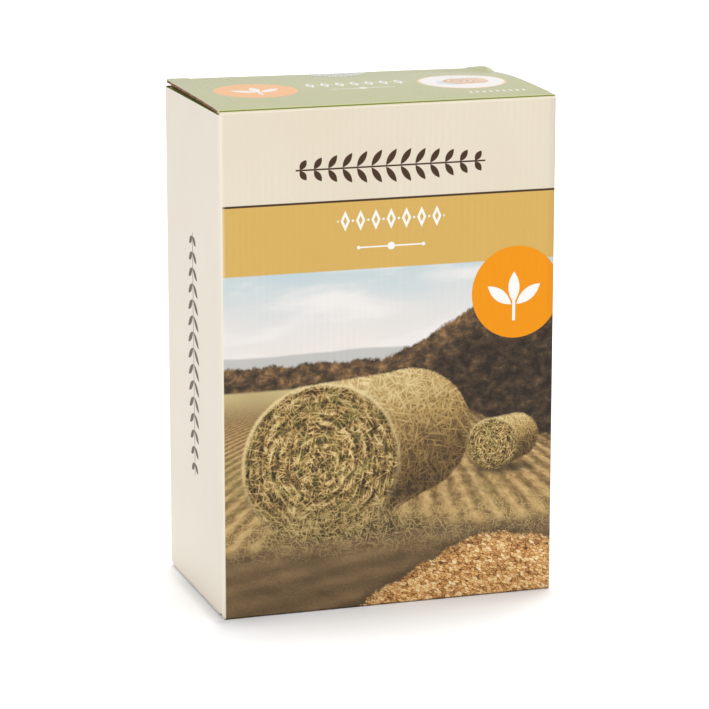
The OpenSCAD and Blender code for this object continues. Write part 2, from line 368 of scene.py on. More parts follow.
def bale(g, c, x, y, cx, cy, r, ex, ey, er, seed):
    """A round bale: its wound end at (cx, cy), its barrel running back to (ex, ey)."""
    dx, dy = ex - cx, ey - cy
    ln = math.hypot(dx, dy)
    ax, ay = dx / ln, dy / ln
    px, py = x - cx, y - cy
    t = g.m("MULTIPLY", px * ax + py * ay, 1.0 / ln, clamp=True)
    rr = t * (er - r) + r
    wob = g.noise(g.vec(x * 0.16, y * 0.16, seed), 1.0, 3.0, 0.6)
    fringe = g.noise(g.vec(x * 0.8, y * 0.8, seed + 2), 1.0, 3.0, 0.7)
    d = rr - g.hyp(px - t * dx, py - t * dy) + (wob - 0.5) * 0.8 + (fringe - 0.5) * 1.8
    size = r / 43.0
    stalks = straw(g, x, y, seed + 1.0, 0.35 + 0.65 * size)
    green = g.smooth(0.45, 0.68, g.noise(g.vec(x * 0.11, y * 0.11, seed + 9), 1.0, 3.0, 0.6))
    # barrel: hay wound round it, light above and dark below
    q = py * ax - px * ay
    wrap = g.noise(g.vec((px * ax + py * ay) * (0.55 / size) + q * q * 0.003, q * 0.05, seed + 1), 1.0, 4.0, 0.7)
    lift = g.smooth(-0.95, 0.85, q / r) * -1.0 + 1.0
    bc = g.ramp(wrap * 0.30 + stalks * 0.24 + lift * 0.46, (0.20, rgb(62, 48, 32)), (0.42, rgb(122, 96, 58)), (0.62, rgb(188, 156, 96)), (0.86, rgb(236, 214, 160)))
    # end face: layers wound round the core, stalks lying across them
    rad = g.hyp(px, py)
    inv = 1.0 / g.mx(rad, 0.6)
    layer = g.noise(g.vec(px * inv * 2.4 + wob * 1.6, py * inv * 2.4, rad * (0.42 / size)), 1.0, 4.0, 0.62)
    layer = g.smooth(0.34, 0.66, layer)
    ec = g.ramp(layer * 0.34 + stalks * 0.42 + fringe * 0.24, (0.16, rgb(46, 36, 25)), (0.34, rgb(88, 70, 44)), (0.50, rgb(140, 112, 66)), (0.66, rgb(200, 164, 100)), (0.86, rgb(240, 216, 158)))
    ec = g.mix(green * 0.28, ec, g.dim(rgb(142, 146, 78), stalks * 0.9 + 0.35))
    ec = g.dim(ec, 1.10 - rad / (r * 3.4) - g.smooth(0.1, 1.0, py / r) * 0.26 - g.smooth(0.22, 0.0, rad / r) * 0.30)
    end = g.edge(r * 0.955 - rad + (wob - 0.5) * 3.0 + (fringe - 0.5) * 1.6, 1.6)
    rim = g.edge(r * 0.995 - rad + (wob - 0.5) * 3.0 + (fringe - 0.5) * 1.6, 1.6)
    bc = g.mix((rim - end) * (lift * 0.7 + 0.1), bc, rgb(232, 210, 156))
    bc = g.mix(end, bc, ec)
    # shadow on the ground beside it
    sh = g.smooth(1.0, 0.30, g.hyp((x - cx - r * 0.45) / (r * 1.75), (y - cy - r * 0.90) / (r * 0.30)))
    c = g.mix(sh * 0.80, c, rgb(52, 42, 30))
    return g.mix(g.edge(d, 1.1), c, bc)


def front_material():
    g = Graph("print_front")
    X, Y, Z = g.coords()
    x, y = X + HW, TOP - Z
    c, n_big = picture(g, x, y)
    c = bale(g, c, x, y, 143.0, 178.0, 14.0, 156.0, 174.5, 12.0, 20.0)
    c = bale(g, c, x, y, 52.0, 181.0, 42.0, 98.0, 168.0, 33.0, 60.0)
    # turned earth in the foreground, with a few furrows, and a bank of loose chaff on it
    soil_n = g.noise(g.vec(x * 0.05, y * 0.12, 31.0), 1.0, 4.0, 0.6)
    crumb = g.noise(g.vec(x * 0.7, y * 0.9, 32.0), 1.0, 4.0, 0.7)
    soil = g.ramp(soil_n * 0.6 + crumb * 0.4, (0.30, rgb(96, 77, 52)), (0.50, rgb(121, 98, 68)), (0.72, rgb(148, 121, 86)))
    furrow = g.sin((y + x * 0.16 + n_big * 5.0) * 0.62) * 0.5 + 0.5
    soil = g.dim(soil, furrow * 0.26 + 0.82)
    verge = straw(g, x, y, 35.0, 0.7)
    lip = 219.0 + 9.0 * g.noise(g.vec(x * 0.035, 0.0, 9.0), 1.0, 4.0) - (x - 30.0) * 0.035 - verge * 3.0
    c = g.mix(g.edge(y - lip, 3.0), c, soil)
    loose = g.smooth(0.60, 0.80, verge) * g.smooth(236.0, 216.0, y)
    c = g.mix(loose * g.edge(y - 205.0, 10.0) * 0.55, c, rgb(212, 184, 122))
    heap_n = g.noise(g.vec(x * 0.06, y * 0.03, 41.0), 1.0, 4.0, 0.6)
    ragged = g.noise(g.vec(x * 0.6, y * 0.6, 42.0), 1.0, 3.0, 0.7)
    heap = 264.0 - g.smooth(40.0, 150.0, x) * 40.0 + g.smooth(150.0, 190.0, x) * 9.0 - (heap_n - 0.5) * 14.0 - (ragged - 0.5) * 7.0
    ch = chips(g, x, y, 51.0)
    cc = g.ramp(ch, (0.06, rgb(104, 70, 40)), (0.24, rgb(176, 122, 68)), (0.42, rgb(222, 166, 98)), (0.58, rgb(242, 200, 136)), (0.78, rgb(252, 232, 186)))
    cc = g.dim(cc, g.smooth(0.0, 9.0, y - heap) * 0.22 + 0.80)
    c = g.mix(g.smooth(-7.0, 0.0, y - heap) * 0.45, c, rgb(58, 46, 34))
    c = g.mix(g.edge(y - heap, 1.2), c, cc)
    # bands above the picture
    c = g.mix(g.edge(82.55 - y, 0.3), c, OCHRE)
    c = g.mix(g.edge(48.25 - y, 0.25), c, BROWN)
    cream = cream_base(g, x, y, CREAM)
    c = g.mix(g.edge(47.15 - y, 0.25), c, cream)
    c = g.mix(sprig(g, x - 39.0, y - 31.2, 99.0, 8.4, 13), c, BROWN)
    c = g.mix(lozenges(g, x - 60.5, y - 57.8, 56.0, 5.2, 7), c, WHITE)
    c = g.mix(g.mx(rect(g, x, y, 71.5, 71.2, 105.5, 71.9), g.mx(disc(g, x, y, 88.5, 71.55, 1.9), g.mx(disc(g, x, y, 71.5, 71.55, 0.9), disc(g, x, y, 105.5, 71.55, 0.9)))), c, WHITE)
    # the round orange flash
    c = g.mix(disc(g, x, y, 155.1, 99.4, 23.7, 0.25), c, ORANGE)
    c = g.mix(trefoil(g, x, y, 154.0, 99.4, 17.5), c, WHITE)
    # the print stops just short of the left fold, and the unprinted margin there is lighter as a painted highlight on
    # the fold
    c = g.mix(g.edge(x - 1.45, 0.35), rgb(246, 236, 217), c)
    # painted highlight along the left fold, above the ochre band
    c = g.mix(g.smooth(3.2, 1.6, x) * g.smooth(84.0, 82.0, y) * 0.35, c, rgb(245, 236, 220))
    # painted highlight along the top edge, under the lid crease
    c = g.mix(g.smooth(1.9, 1.2, y) * 0.7, c, rgb(252, 247, 220))
    # painted shade: darker towards the right fold, which turns away from the light, and along the foot where the board
    # rolls under
    c = g.dim(c, g.smooth(170.5, 174.4, x) * -0.07 - g.smooth(174.3, 175.5, x) * 0.14 - g.smooth(256.7, 257.5, y) * 0.50 + 1.0)
    return board_finish(g, c, x, y, 1.0, 0.40, 1.0)


def side_material(name, sign):
    """Left or right wall: cream, with an upright sprig."""
    g = Graph(name)
    X, Y, Z = g.coords()
    s = (Y + HD) if sign > 0 else (HD - Y)      # from the left edge as it is looked at
    y = TOP - Z
    c = cream_base(g, s, y, CREAM_SIDE)
    c = g.mix(sprig(g, y - 69.0, s - HD, 127.0, 10.5, 15), c, BROWN)
    edge = g.mn(s, DEPTH - s)
    # painted highlight along both upright folds
    c = g.mix(g.smooth(3.4, 0.8, edge) * 0.35, c, rgb(249, 241, 226))
    # painted shade on the right wall's front fold, which turns away from the light
    c = g.mix(g.smooth(0.8, 0.25, DEPTH - s if sign < 0 else DEPTH * 9) * 0.5, c, rgb(206, 186, 158))
    # painted highlight along the top, under the dust-flap crease
    c = g.mix(g.smooth(3.1, 2.4, y) * 0.8, c, rgb(248, 246, 230))
    # painted shade along the foot, where the wall rolls under
    c = g.mix(g.smooth(255.4, 256.6, y) * 0.35, c, rgb(176, 172, 150))
    # painted light from the floor: lighter towards the foot
    c = g.dim(c, g.smooth(140.0, 256.0, y) * 0.045 + g.smooth(205.0, 256.0, y) * 0.10 + 1.0)
    return board_finish(g, c, s, y, 0.8, 0.42, 3.0)


def back_material():
    g = Graph("print_back")
    X, Y, Z = g.coords()
    x, y = HW - X, TOP - Z
    c = cream_base(g, x, y, CREAM)
    c = g.mix(rect(g, x, y, -5, 48.25, 190, 82.55, 0.3), c, OCHRE)
    c = g.mix(rect(g, x, y, -5, 47.15, 190, 48.25, 0.3), c, BROWN)
    c = g.mix(sprig(g, x - 39.0, y - 26.5, 98.0, 8.0, 13), c, BROWN)
    c = g.mix(lozenges(g, x - 60.0, y - 64.2, 56.0, 5.6, 7), c, WHITE)
    for cy in (118.0, 166.0, 214.0):
        c = g.mix(disc(g, x, y, 34.0, cy, 17.0), c, OCHRE)
        c = g.mix(trefoil(g, x, y, 34.0, cy, 12.5), c, WHITE)
        c = g.mix(sprig(g, x - 62.0, y - cy, 92.0, 6.0, 12), c, g.mix(0.35, BROWN, CREAM))
    # the unprinted margins by the folds are lighter, partly as a painted highlight on the folds
    c = g.mix(g.mn(g.edge(x - 1.5, 0.35), g.edge(174.5 - x, 0.35)), g.mix(0.5, CREAM_SIDE, WHITE), c)
    return board_finish(g, c, x, y, 1.0, 0.42, 5.0)


def lid_material():
    """Coordinates of the lid: a across from the middle, b back from the crease."""
    g = Graph("print_lid")
    A, B, C = g.coords()
    x, y = A + HW, DEPTH - B
    tone = g.noise(g.vec(x * 0.02, y * 0.03, 1.0), 1.0, 3.0)
    c = g.mix(g.smooth(0.2, 0.8, tone), LID_GREEN, rgb(136, 138, 66))
    c = g.mix(disc(g, x, y, 34.0, 50.8, 21.3), c, LID_ORANGE)
    c = g.mix(trefoil(g, x, y, 34.0, 50.8, 15.5), c, LID_WHITE)
    c = g.mix(lozenges(g, x - 61.0, y - 43.0, 55.0, 6.6, 7), c, LID_WHITE)
    c = g.mix(g.mx(rect(g, x, y, 71.5, 57.4, 105.5, 58.3), disc(g, x, y, 88.5, 57.85, 2.3)), c, LID_WHITE)
    c = g.mix(disc(g, x, y, 143.9, 51.0, 22.8), c, rgb(206, 160, 112))
    c = g.mix(disc(g, x, y, 143.9, 51.0, 21.7), c, LID_WHITE)
    # a small bale in the white disc: its shade first, then the barrel and the wound end
    c = g.mix(disc(g, x, y, 137.0, 53.5, 7.6), c, rgb(170, 184, 182))
    barrel = g.edge(9.4 - g.hyp(g.mx(g.ab(x - 146.5) - 4.6, 0.0) * 1.4, y - 50.5), 0.25)
    band = g.noise(g.vec(x * 0.8, y * 0.2, 3.0), 1.0, 3.0, 0.7)
    c = g.mix(barrel, c, g.mix(g.smooth(0.3, 0.7, band), rgb(176, 126, 84), rgb(196, 166, 124)))
    rad = g.hyp(x - 142.0, y - 50.5)
    spiral = g.sin(rad * 1.9 + g.m("ARCTAN2", y - 50.5, x - 142.0) + band * 1.5)
    c = g.mix(disc(g, x, y, 142.0, 50.5, 8.6), c, g.mix(g.smooth(-0.2, 0.5, spiral), rgb(166, 114, 74), rgb(198, 170, 132)))
    # a row of ticks at the front edge
    q = x - g.floor((x - 135.0) / 3.55) * 3.55 - 136.75
    c = g.mix(g.mn(g.edge(0.62 - g.ab(q), 0.2), rect(g, x, y, 135.0, 82.4, 168.0, 86.2)), c, LID_WHITE)
    # the dark pressed line of the crease, a painted highlight in a band behind it, and pale wear at the rear edge
    c = g.mix(g.smooth(4.6, 3.0, B) * 0.55, c, rgb(156, 164, 44))
    c = g.mix(g.smooth(1.7, 1.3, B), c, CREASE_GREEN)
    c = g.mix(g.smooth(LB - 1.0, LB + 0.5, B) * 0.3, c, rgb(188, 188, 146))
    rub = g.smooth(0.62, 0.72, g.noise(g.vec(A * 0.5, B * 0.5, 4.0), 1.0, 4.0, 0.7))
    c = g.mix(g.smooth(84.5, 87.2, g.ab(A)) * rub * 0.2, c, LID_WHITE)
    c = g.dim(c, g.smooth(50.0, 96.0, B) * -0.13 + 1.2616)
    return board_finish(g, c, A, B, 1.0, 0.24, 7.0, 0.5)


def green_material(name, seed, axes):
    g = Graph(name)
    abc = g.coords()
    across, along = abc[axes[0]], abc[axes[1]]
    tone = g.noise(g.vec(across * 0.03, along * 0.03, seed), 1.0, 3.0)
    c = g.mix(g.smooth(0.2, 0.8, tone), GREEN, rgb(142, 152, 80))
    return board_finish(g, c, across, along, 1.0, 0.36, seed)


def crease_material(name, stops, seed):
    """Paper over a pressed fold, coloured from its start to its end by stops, with fine cracks in the coating."""
    g = Graph(name)
    A, B, C = g.coords()
    crack = g.noise(g.vec(A * 0.9, B * 6.0, seed), 1.0, 4.0, 0.75)
    c = g.ramp(B + (crack - 0.5) * 0.14, *stops)
    c = g.mix(g.smooth(0.66, 0.80, crack) * 0.30, c, rgb(226, 224, 176))
    g.bump(crack, 0.00005)
    return g.out(c, crack * 0.15 + 0.55, specular=0.08)


def kraft_material(name, tone=1.0, seed=0.0, axes=(0, 1)):
    """Plain brown liner with the flutes showing through, long fibres and specks.
    axes are the coordinates across and along the flutes."""
    g = Graph(name)
    abc = g.coords()
    A, B, C = abc
    across, along = abc[axes[0]], abc[axes[1]]
    wander = g.noise(g.vec(across * 0.02, along * 0.02, seed), 1.0, 2.0)
    stripe = g.sin(across * (2 * math.pi / PITCH) + wander * 6.0)
    fibre = g.noise(g.vec(across * 0.6, along * 2.4, seed + 3), 1.0, 4.0, 0.7)
    speck = g.noise(g.vec(A * 3.1, B * 3.1, C * 3.1 + seed), 1.0, 2.0, 0.6)
    c = g.ramp(fibre * 0.75 + wander * 0.25, (0.30, rgb(146, 108, 72)), (0.50, rgb(176, 136, 94)), (0.72, rgb(198, 160, 116)))
    c = g.mix(g.smooth(0.68, 0.76, speck) * 0.5, c, rgb(112, 80, 52))
    c = g.dim(c, stripe * 0.035 + tone)
    g.bump(stripe * 0.6 + fibre * 0.7, 0.00006)
    return g.out(c, 0.82, specular=0.25)


def raw_edge_material(name, layered):
    """Cut edge of the board: brown middle and inner liner, and on a flap the white coated liner outside."""
    g = Graph(name)
    A, B, C = g.coords()
    n = g.noise(g.vec(A * 1.3, B * 1.3, C * 3.0), 1.0, 4.0, 0.7)
    long = g.noise(g.vec(A * 0.16, B * 0.16, 3.0), 1.0, 3.0, 0.6)
    c = g.ramp(n * 0.6 + long * 0.4, (0.36, rgb(74, 53, 38)), (0.48, rgb(132, 98, 74)), (0.60, rgb(176, 138, 110)), (0.70, rgb(236, 202, 170)))
    c = g.mix(g.smooth(6.0, 2.0, B) * 0.7, c, rgb(232, 212, 182))
    if layered:
        c = g.mix(g.edge(0.20 - C + (n - 0.5) * 0.18, 0.12), c, rgb(226, 214, 196))
    g.bump(n, 0.0002)
    return g.out(c, 0.88, specular=0.15)


def flute_material():
    g = Graph("flute_paper")
    A, B, C = g.coords()
    n = g.noise(g.vec(A * 1.1, B * 1.1, C * 2.0), 1.0, 3.0, 0.7)
    c = g.ramp(n, (0.30, rgb(128, 92, 60)), (0.60, rgb(168, 130, 90)), (0.80, rgb(192, 154, 112)))
    g.bump(n, 0.0001)
    return g.out(c, 0.85, specular=0.15)


def liner_material():
    """The thin coated liner where it is cut."""
    g = Graph("liner_edge")
    X, Y, Z = g.coords()
    n = g.noise(g.vec(X * 0.8, Y * 0.8, Z * 0.8), 1.0, 3.0, 0.7)
    return g.out(g.ramp(n, (0.3, rgb(206, 190, 166)), (0.7, rgb(238, 230, 214))), 0.7, specular=0.3)


def base_material():
    """Outer face of the bottom flaps: bare coated board with glue show-through."""
    g = Graph("base_board")
    A, B, C = g.coords()
    c = cream_base(g, A, B, CREAM_SIDE)
    damp = g.smooth(0.58, 0.70, g.noise(g.vec(A * 0.05, B * 0.03, 6.0), 1.0, 3.0, 0.6))
    c = g.mix(damp * 0.25, c, rgb(206, 194, 172))
    scuff = g.smooth(0.62, 0.74, g.noise(g.vec(A * 0.25, B * 0.8, 2.0), 1.0, 4.0, 0.7))
    c = g.mix(scuff * 0.3, c, rgb(178, 166, 148))
    return board_finish(g, c, A, B, 1.0, 0.45, 8.0)


def film_material():
    """Clear adhesive film: a glossy skin, milkier at its rim and where the glue has pulled."""
    g = Graph("clear_film")
    A, B, C = g.coords()
    r = g.hyp(A, B)
    pull = g.noise(g.vec(A * 0.9, B * 0.25, 1.0), 1.0, 3.0, 0.6)
    g.put(g.bsdf.inputs["Alpha"], g.smooth(15.2, 16.3, r) * 0.16 + g.smooth(0.35, 0.7, pull) * 0.22 + 0.22)
    g.bump(pull, 0.00004)
    return g.out(g.mix(pull, rgb(250, 251, 248), rgb(255, 255, 252)), pull * 0.10 + 0.10, specular=0.6, coat=0.5, coat_rough=0.08)


def wood_rings(g, L, W, T, seed):
    """Softwood grain as a solid: growth rings round a pith that wanders along the board."""
    bend = g.noise(g.vec(L * 0.006, W * 0.012, seed), 1.0, 2.0)
    rad = g.hyp(W * 0.55 + bend * 34.0 + 9.0, T + 46.0 + bend * 10.0)
    fine = g.noise(g.vec(L * 0.02, W * 0.5, T * 0.5 + seed), 1.0, 3.0, 0.6)
    ring = g.sin(rad * 1.75 + fine * 2.2) * 0.5 + 0.5
    late = g.smooth(0.55, 0.98, ring)
    fibre = g.noise(g.vec(L * 0.09, W * 3.2, T * 3.2 + seed), 1.0, 4.0, 0.7)
    pore = g.smooth(0.60, 0.78, g.noise(g.vec(L * 0.05, W * 2.0, T * 2.0 + seed), 1.0, 3.0, 0.7))
    return bend, late, fibre, pore


def pine_material():
    """Planed pine: cream early wood, amber late wood, a few small knots."""
    g = Graph("pine")
    L, W, T = g.coords()
    bend, late, fibre, pore = wood_rings(g, L, W, T, 3.0)
    c = g.mix(g.smooth(0.25, 0.75, bend), rgb(240, 214, 170), rgb(230, 198, 148))
    c = g.mix(late * 0.50, c, rgb(198, 146, 88))
    c = g.mix(pore * 0.30, c, rgb(168, 120, 72))
    c = g.dim(c, fibre * 0.16 + 0.92)
    g.bump(fibre * 0.7 - late * 0.4, 0.00009)
    return g.out(c, fibre * 0.18 + 0.46, specular=0.35)


def blue_material():
    """Pale blue water paint on pine: the grain rises through it and the brush leaves fine lines."""
    g = Graph("blue_paint")
    L, W, T = g.coords()
    bend, late, fibre, pore = wood_rings(g, L, W, T, 5.0)
    brush = g.noise(g.vec(L * 0.03, W * 1.4, 7.0), 1.0, 4.0, 0.6)
    patch = g.noise(g.vec(L * 0.02, W * 0.03, 9.0), 1.0, 3.0)
    c = g.mix(g.smooth(0.25, 0.8, patch), rgb(190, 211, 216), rgb(204, 221, 223))
    c = g.mix(late * 0.22, c, rgb(168, 190, 194))
    c = g.mix(g.smooth(0.62, 0.80, brush) * 0.30, c, rgb(222, 232, 230))
    c = g.mix(pore * 0.20, c, rgb(150, 168, 168))
    g.bump(brush * 0.5 + fibre * 0.4 - late * 0.5, 0.00010)
    return g.out(c, brush * 0.14 + 0.40, specular=0.38)


def dowel_material():
    g = Graph("dowel_beech")
    X, Y, Z = g.object_coords()
    fleck = g.noise(g.vec(X * 0.35, Y * 2.2, Z * 2.2), 1.0, 4.0, 0.7)
    c = g.ramp(fleck, (0.30, rgb(206, 164, 114)), (0.55, rgb(226, 190, 142)), (0.78, rgb(236, 208, 168)))
    g.bump(fleck, 0.00008)
    return g.out(c, 0.55, specular=0.3)


def steel_material():
    """Zinc-plated wire: drawn lines and dull grey patches in the plating."""
    g = Graph("plated_steel")
    X, Y, Z = g.object_coords()
    patch = g.noise(g.vec(X * 0.30, Y * 0.30, Z * 0.30), 1.0, 3.0, 0.6)
    drawn = g.noise(g.vec(X * 2.6, Y * 2.6, Z * 0.5), 1.0, 3.0, 0.7)
    c = g.mix(g.smooth(0.3, 0.75, patch), rgb(206, 205, 200), rgb(176, 176, 174))
    c = g.mix(g.smooth(0.64, 0.80, drawn) * 0.4, c, rgb(132, 130, 126))
    g.bsdf.inputs["Metallic"].default_value = 1.0
    g.bump(drawn, 0.00003)
    return g.out(c, patch * 0.16 + drawn * 0.10 + 0.16)


def floor_material():
    g = Graph("studio_paper")
    X, Y, Z = g.object_coords()
    n = g.noise(g.vec(X * 0.004, Y * 0.004, Z * 0.004), 1.0, 3.0)
    g.bsdf.inputs["Emission Color"].default_value = (1.0, 1.0, 1.0, 1.0)
    away = g.hyp(g.mx(g.ab(X) - HW, 0.0), g.mx(g.ab(Y) - HD, 0.0))
    # the floor glows as a painted light: none within 14 mm of the carton, more further out, and a little more to its
    # left
    g.put(g.bsdf.inputs["Emission Strength"], g.smooth(14.0, 62.0, away) * 0.15 + g.smooth(60.0, 300.0, away) * 0.06 + g.smooth(-HW - 2.0, -HW - 14.0, X) * 0.045)
    # painted shadow on the paper close to the left wall and along the front, stronger towards the front's ends
    left = g.smooth(-HW - 8.0, -HW - 1.5, X) * g.smooth(-HW + 4.0, -HW - 1.0, X) * g.smooth(45.0, 8.0, Y) * g.smooth(-HD - 8.0, -HD + 1.0, Y)
    front = g.smooth(24.0, 0.0, away) * g.smooth(-HD + 2.0, -HD - 1.0, Y) * g.smooth(HW + 12.0, HW - 4.0, X) * g.smooth(-HW - 8.0, -HW, X)
    ends = g.smooth(-40.0, -85.0, X) * 0.10 + g.smooth(0.0, 40.0, X) * 0.08 + 0.10
    shade = 1.0 - left * 0.20 - front * ends
    return g.out(g.dim(g.mix(n, (0.935, 0.935, 0.935, 1.0), (0.955, 0.955, 0.955, 1.0)), shade), 0.9, specular=0.0)


# ---------------------------------------------------------------- meshes

def make(name, verts, faces, mats, fmat, rp, body, nodes=(), angle=32):
    """A closed mesh in millimetres, with the rest coordinates its material reads."""
    me = bpy.data.meshes.new(name)
    me.from_pydata([tuple(c * MM for c in v) for v in verts], [], faces)
    for m in mats:
        me.materials.append(m)
    for p, i in zip(me.polygons, fmat):
        p.material_index = i
    at = me.attributes.new("rp", "FLOAT_VECTOR", "POINT")
    at.data.foreach_set("vector", [c for v in (rp or verts) for c in v])
    bm = bmesh.new()
    bm.from_mesh(me)
    bmesh.ops.recalc_face_normals(bm, faces=bm.faces)
    bm.to_mesh(me)
    bm.free()
    me.shade_smooth()
    me.set_sharp_from_angle(angle=math.radians(angle))
    ob = bpy.data.objects.new(name, me)
    bpy.context.scene.collection.objects.link(ob)
    if body:
        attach(ob, body)
    if nodes:
        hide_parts(*nodes)
    return ob


def rounded(points, cuts):
    """A closed outline with the given corners rounded: cuts is {index: radius}."""
    out, n = [], len(points)
    for i, p in enumerate(points):
        r = cuts.get(i, 0)
        if not r:
            out.append(tuple(p))
            continue
        a, b = Vector(points[i - 1]) - Vector(p), Vector(points[(i + 1) % n]) - Vector(p)
        a.normalize(); b.normalize()
        half = a.angle(b) / 2
        d = r / math.tan(half)
        c = Vector(p) + (a + b).normalized() * (r / math.sin(half))
        s, e = Vector(p) + a * d - c, Vector(p) + b * d - c
        for k in range(7):
            v = s.lerp(e, k / 6)
            v = v.normalized() * r
            out.append(tuple(c + v))
    return out


def fill(pts, step):
    """Triangles inside a closed outline, on a grid about step apart: (points, triangles, the outline's indices)."""
    n = len(pts)
    lo = Vector((min(p.x for p in pts), min(p.y for p in pts)))
    hi = Vector((max(p.x for p in pts), max(p.y for p in pts)))

    def inside(x, y):
        hit = False
        for i in range(n):
            a, b = pts[i], pts[(i + 1) % n]
            if (a.y > y) != (b.y > y) and x < (b.x - a.x) * (y - a.y) / (b.y - a.y) + a.x:
                hit = not hit
        return hit

    def gap(x, y):
        best = 1e9
        for i in range(n):
            a, b = pts[i], pts[(i + 1) % n]
            d = b - a
            t = clamp(((x - a.x) * d.x + (y - a.y) * d.y) / max(d.length_squared, 1e-9))
            best = min(best, math.hypot(x - a.x - d.x * t, y - a.y - d.y * t))
        return best

    grid = []
    gx = max(1, round((hi.x - lo.x) / step))
    gy = max(1, round((hi.y - lo.y) / step))
    for i in range(gx + 1):
        for j in range(gy + 1):
            x, y = lo.x + (hi.x - lo.x) * i / gx, lo.y + (hi.y - lo.y) * j / gy
            if inside(x, y) and gap(x, y) > step * 0.3:
                grid.append(Vector((x, y)))
    cdt = delaunay_2d_cdt(pts + grid, [(i, (i + 1) % n) for i in range(n)], [], 1, 1e-5)
    index = {}
    for i, src in enumerate(cdt[3]):
        for s in src:
            index.setdefault(s, i)
    return cdt[0], cdt[2], [index[i] for i in range(n)]


def board(name, outline, kind, place, mats, body, nodes, step=9.0, pitch=4.5, crush=0.0):
    """A sheet of corrugated board. outline is closed and runs anticlockwise in the board's own (a, b).
    kind(p, q) says what an edge is: 'crease' for a plain end that a fold covers, 'along' for a cut beside
    the flutes, 'across' for a cut that shows them. place(a, b, c) puts a point c below the outer face."""
    pts, kinds = [], []
    n = len(outline)
    for i in range(n):
        p, q = Vector(outline[i]), Vector(outline[(i + 1) % n])
        k = kind(p, q)
        m = max(1, math.ceil((q - p).length / pitch))
        for j in range(m):
            pts.append(p.lerp(q, j / m))
            kinds.append(k)
    n = len(pts)
    normals = []
    for i in range(n):
        d = (pts[(i + 1) % n] - pts[i]).normalized() + (pts[i] - pts[i - 1]).normalized()
        d.normalize()
        normals.append(Vector((-d.y, d.x)))          # inwards on an anticlockwise outline
    flat, tris, ring0 = fill(pts, step)
    verts, rp, faces, fmat = [], [], [], []
    base = len(flat)
    for c in (0.0, BOARD):
        for p in flat:
            verts.append(place(p.x, p.y, c))
            rp.append((p.x, p.y, c))
    for t in tris:
        faces.append(tuple(t)); fmat.append(0)
        faces.append(tuple(base + i for i in reversed(t))); fmat.append(1)
    # the cut edge, drawn in between the two liners
    recess = {"crease": 0.0, "along": 0.14, "across": 1.1}
    levels = [(0.22, 0.0), (0.30, 1.0), (1.20, 1.0), (1.28, 0.0)]
    rings = [ring0]
    for c, k in levels:
        ring = []
        for i in range(n):
            r = min(recess[kinds[i]], recess[kinds[i - 1]]) * k
            if kinds[i] == kinds[i - 1] == "along":
                r += crush * k * (1 + math.sin(1.9 * i + c * 3) * math.sin(0.83 * i + 1.0) + 0.6 * math.sin(5.1 * i))
            p = pts[i] + normals[i] * r
            ring.append(len(verts))
            verts.append(place(p.x, p.y, c))
            rp.append((p.x, p.y, c))
        rings.append(ring)
    rings.append([base + i for i in ring0])
    for r0, r1 in zip(rings, rings[1:]):
        for i in range(n):
            j = (i + 1) % n
            faces.append((r0[i], r0[j], r1[j], r1[i])); fmat.append(2)
    # the flutes themselves, where a cut crosses them
    i = 0
    while i < n:
        if kinds[i] != "across":
            i += 1
            continue
        j = i
        while j < n and kinds[j] == "across":
            j += 1
        run = [pts[k % n] for k in range(i, j + 1)]
        inw = [normals[k % n] for k in range(i, j + 1)]
        lens = [0.0]
        for a, b in zip(run, run[1:]):
            lens.append(lens[-1] + (b - a).length)
        total, s, prev, seg = lens[-1] - 1.4, 1.4, None, 0
        while s <= total:
            while seg < len(lens) - 2 and lens[seg + 1] < s:
                seg += 1
            f = (s - lens[seg]) / max(lens[seg + 1] - lens[seg], 1e-9)
            p, w = run[seg].lerp(run[seg + 1], f), inw[seg].lerp(inw[seg + 1], f).normalized()
            mid = 0.75 + 0.40 * math.sin(2 * math.pi * s / PITCH)
            now = []
            for depth, c in ((0.04, mid - 0.07), (0.04, mid + 0.07), (1.05, mid + 0.07), (1.05, mid - 0.07)):
                now.append(len(verts))
                q = p + w * depth
                verts.append(place(q.x, q.y, c))
                rp.append((q.x, q.y, c))
            if prev:
                for a in range(4):
                    b = (a + 1) % 4
                    faces.append((prev[a], prev[b], now[b], now[a])); fmat.append(3)
            else:
                faces.append(tuple(now)); fmat.append(3)
            prev = now
            s += PITCH / 10
        if prev:
            faces.append(tuple(reversed(prev))); fmat.append(3)
        i = j
    return make(name, verts, faces, mats, fmat, rp, body, nodes)


def bezier(p, c, q, n):
    """n + 1 points that leave p towards c and come into q from c."""
    p, c, q = Vector(p), Vector(c), Vector(q)
    return [p * (1 - t) ** 2 + c * (2 * t * (1 - t)) + q * t * t for t in (i / n for i in range(n + 1))]


def crease(name, stations, outer, inner, mats, start, end):
    """The bent strip between two flaps. outer(s) and inner(s) each give a start, a corner and an end."""
    verts, rp, faces, fmat, rings = [], [], [], [], []
    n = 8
    for s in stations:
        out, inn = bezier(*outer(s), n), bezier(*inner(s), n)
        ring = []
        for i, p in enumerate(out + inn[::-1]):
            ring.append(len(verts))
            verts.append(tuple(p))
            rp.append((s, i / n if i <= n else (2 * n + 1 - i) / n, 0.0 if i <= n else BOARD))
        rings.append(ring)
    m = len(rings[0])
    for r0, r1 in zip(rings, rings[1:]):
        for i in range(m):
            j = (i + 1) % m
            faces.append((r0[i], r0[j], r1[j], r1[i]))
            fmat.append(0 if i < n else 1)
    faces.append(tuple(reversed(rings[0]))); fmat.append(2)
    faces.append(tuple(rings[-1])); fmat.append(2)
    ob = make(name, verts, faces, mats, fmat, rp, None, (), angle=50)
    [c * MM for c in start]
    [c * MM for c in end]
    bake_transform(ob)
    return ob


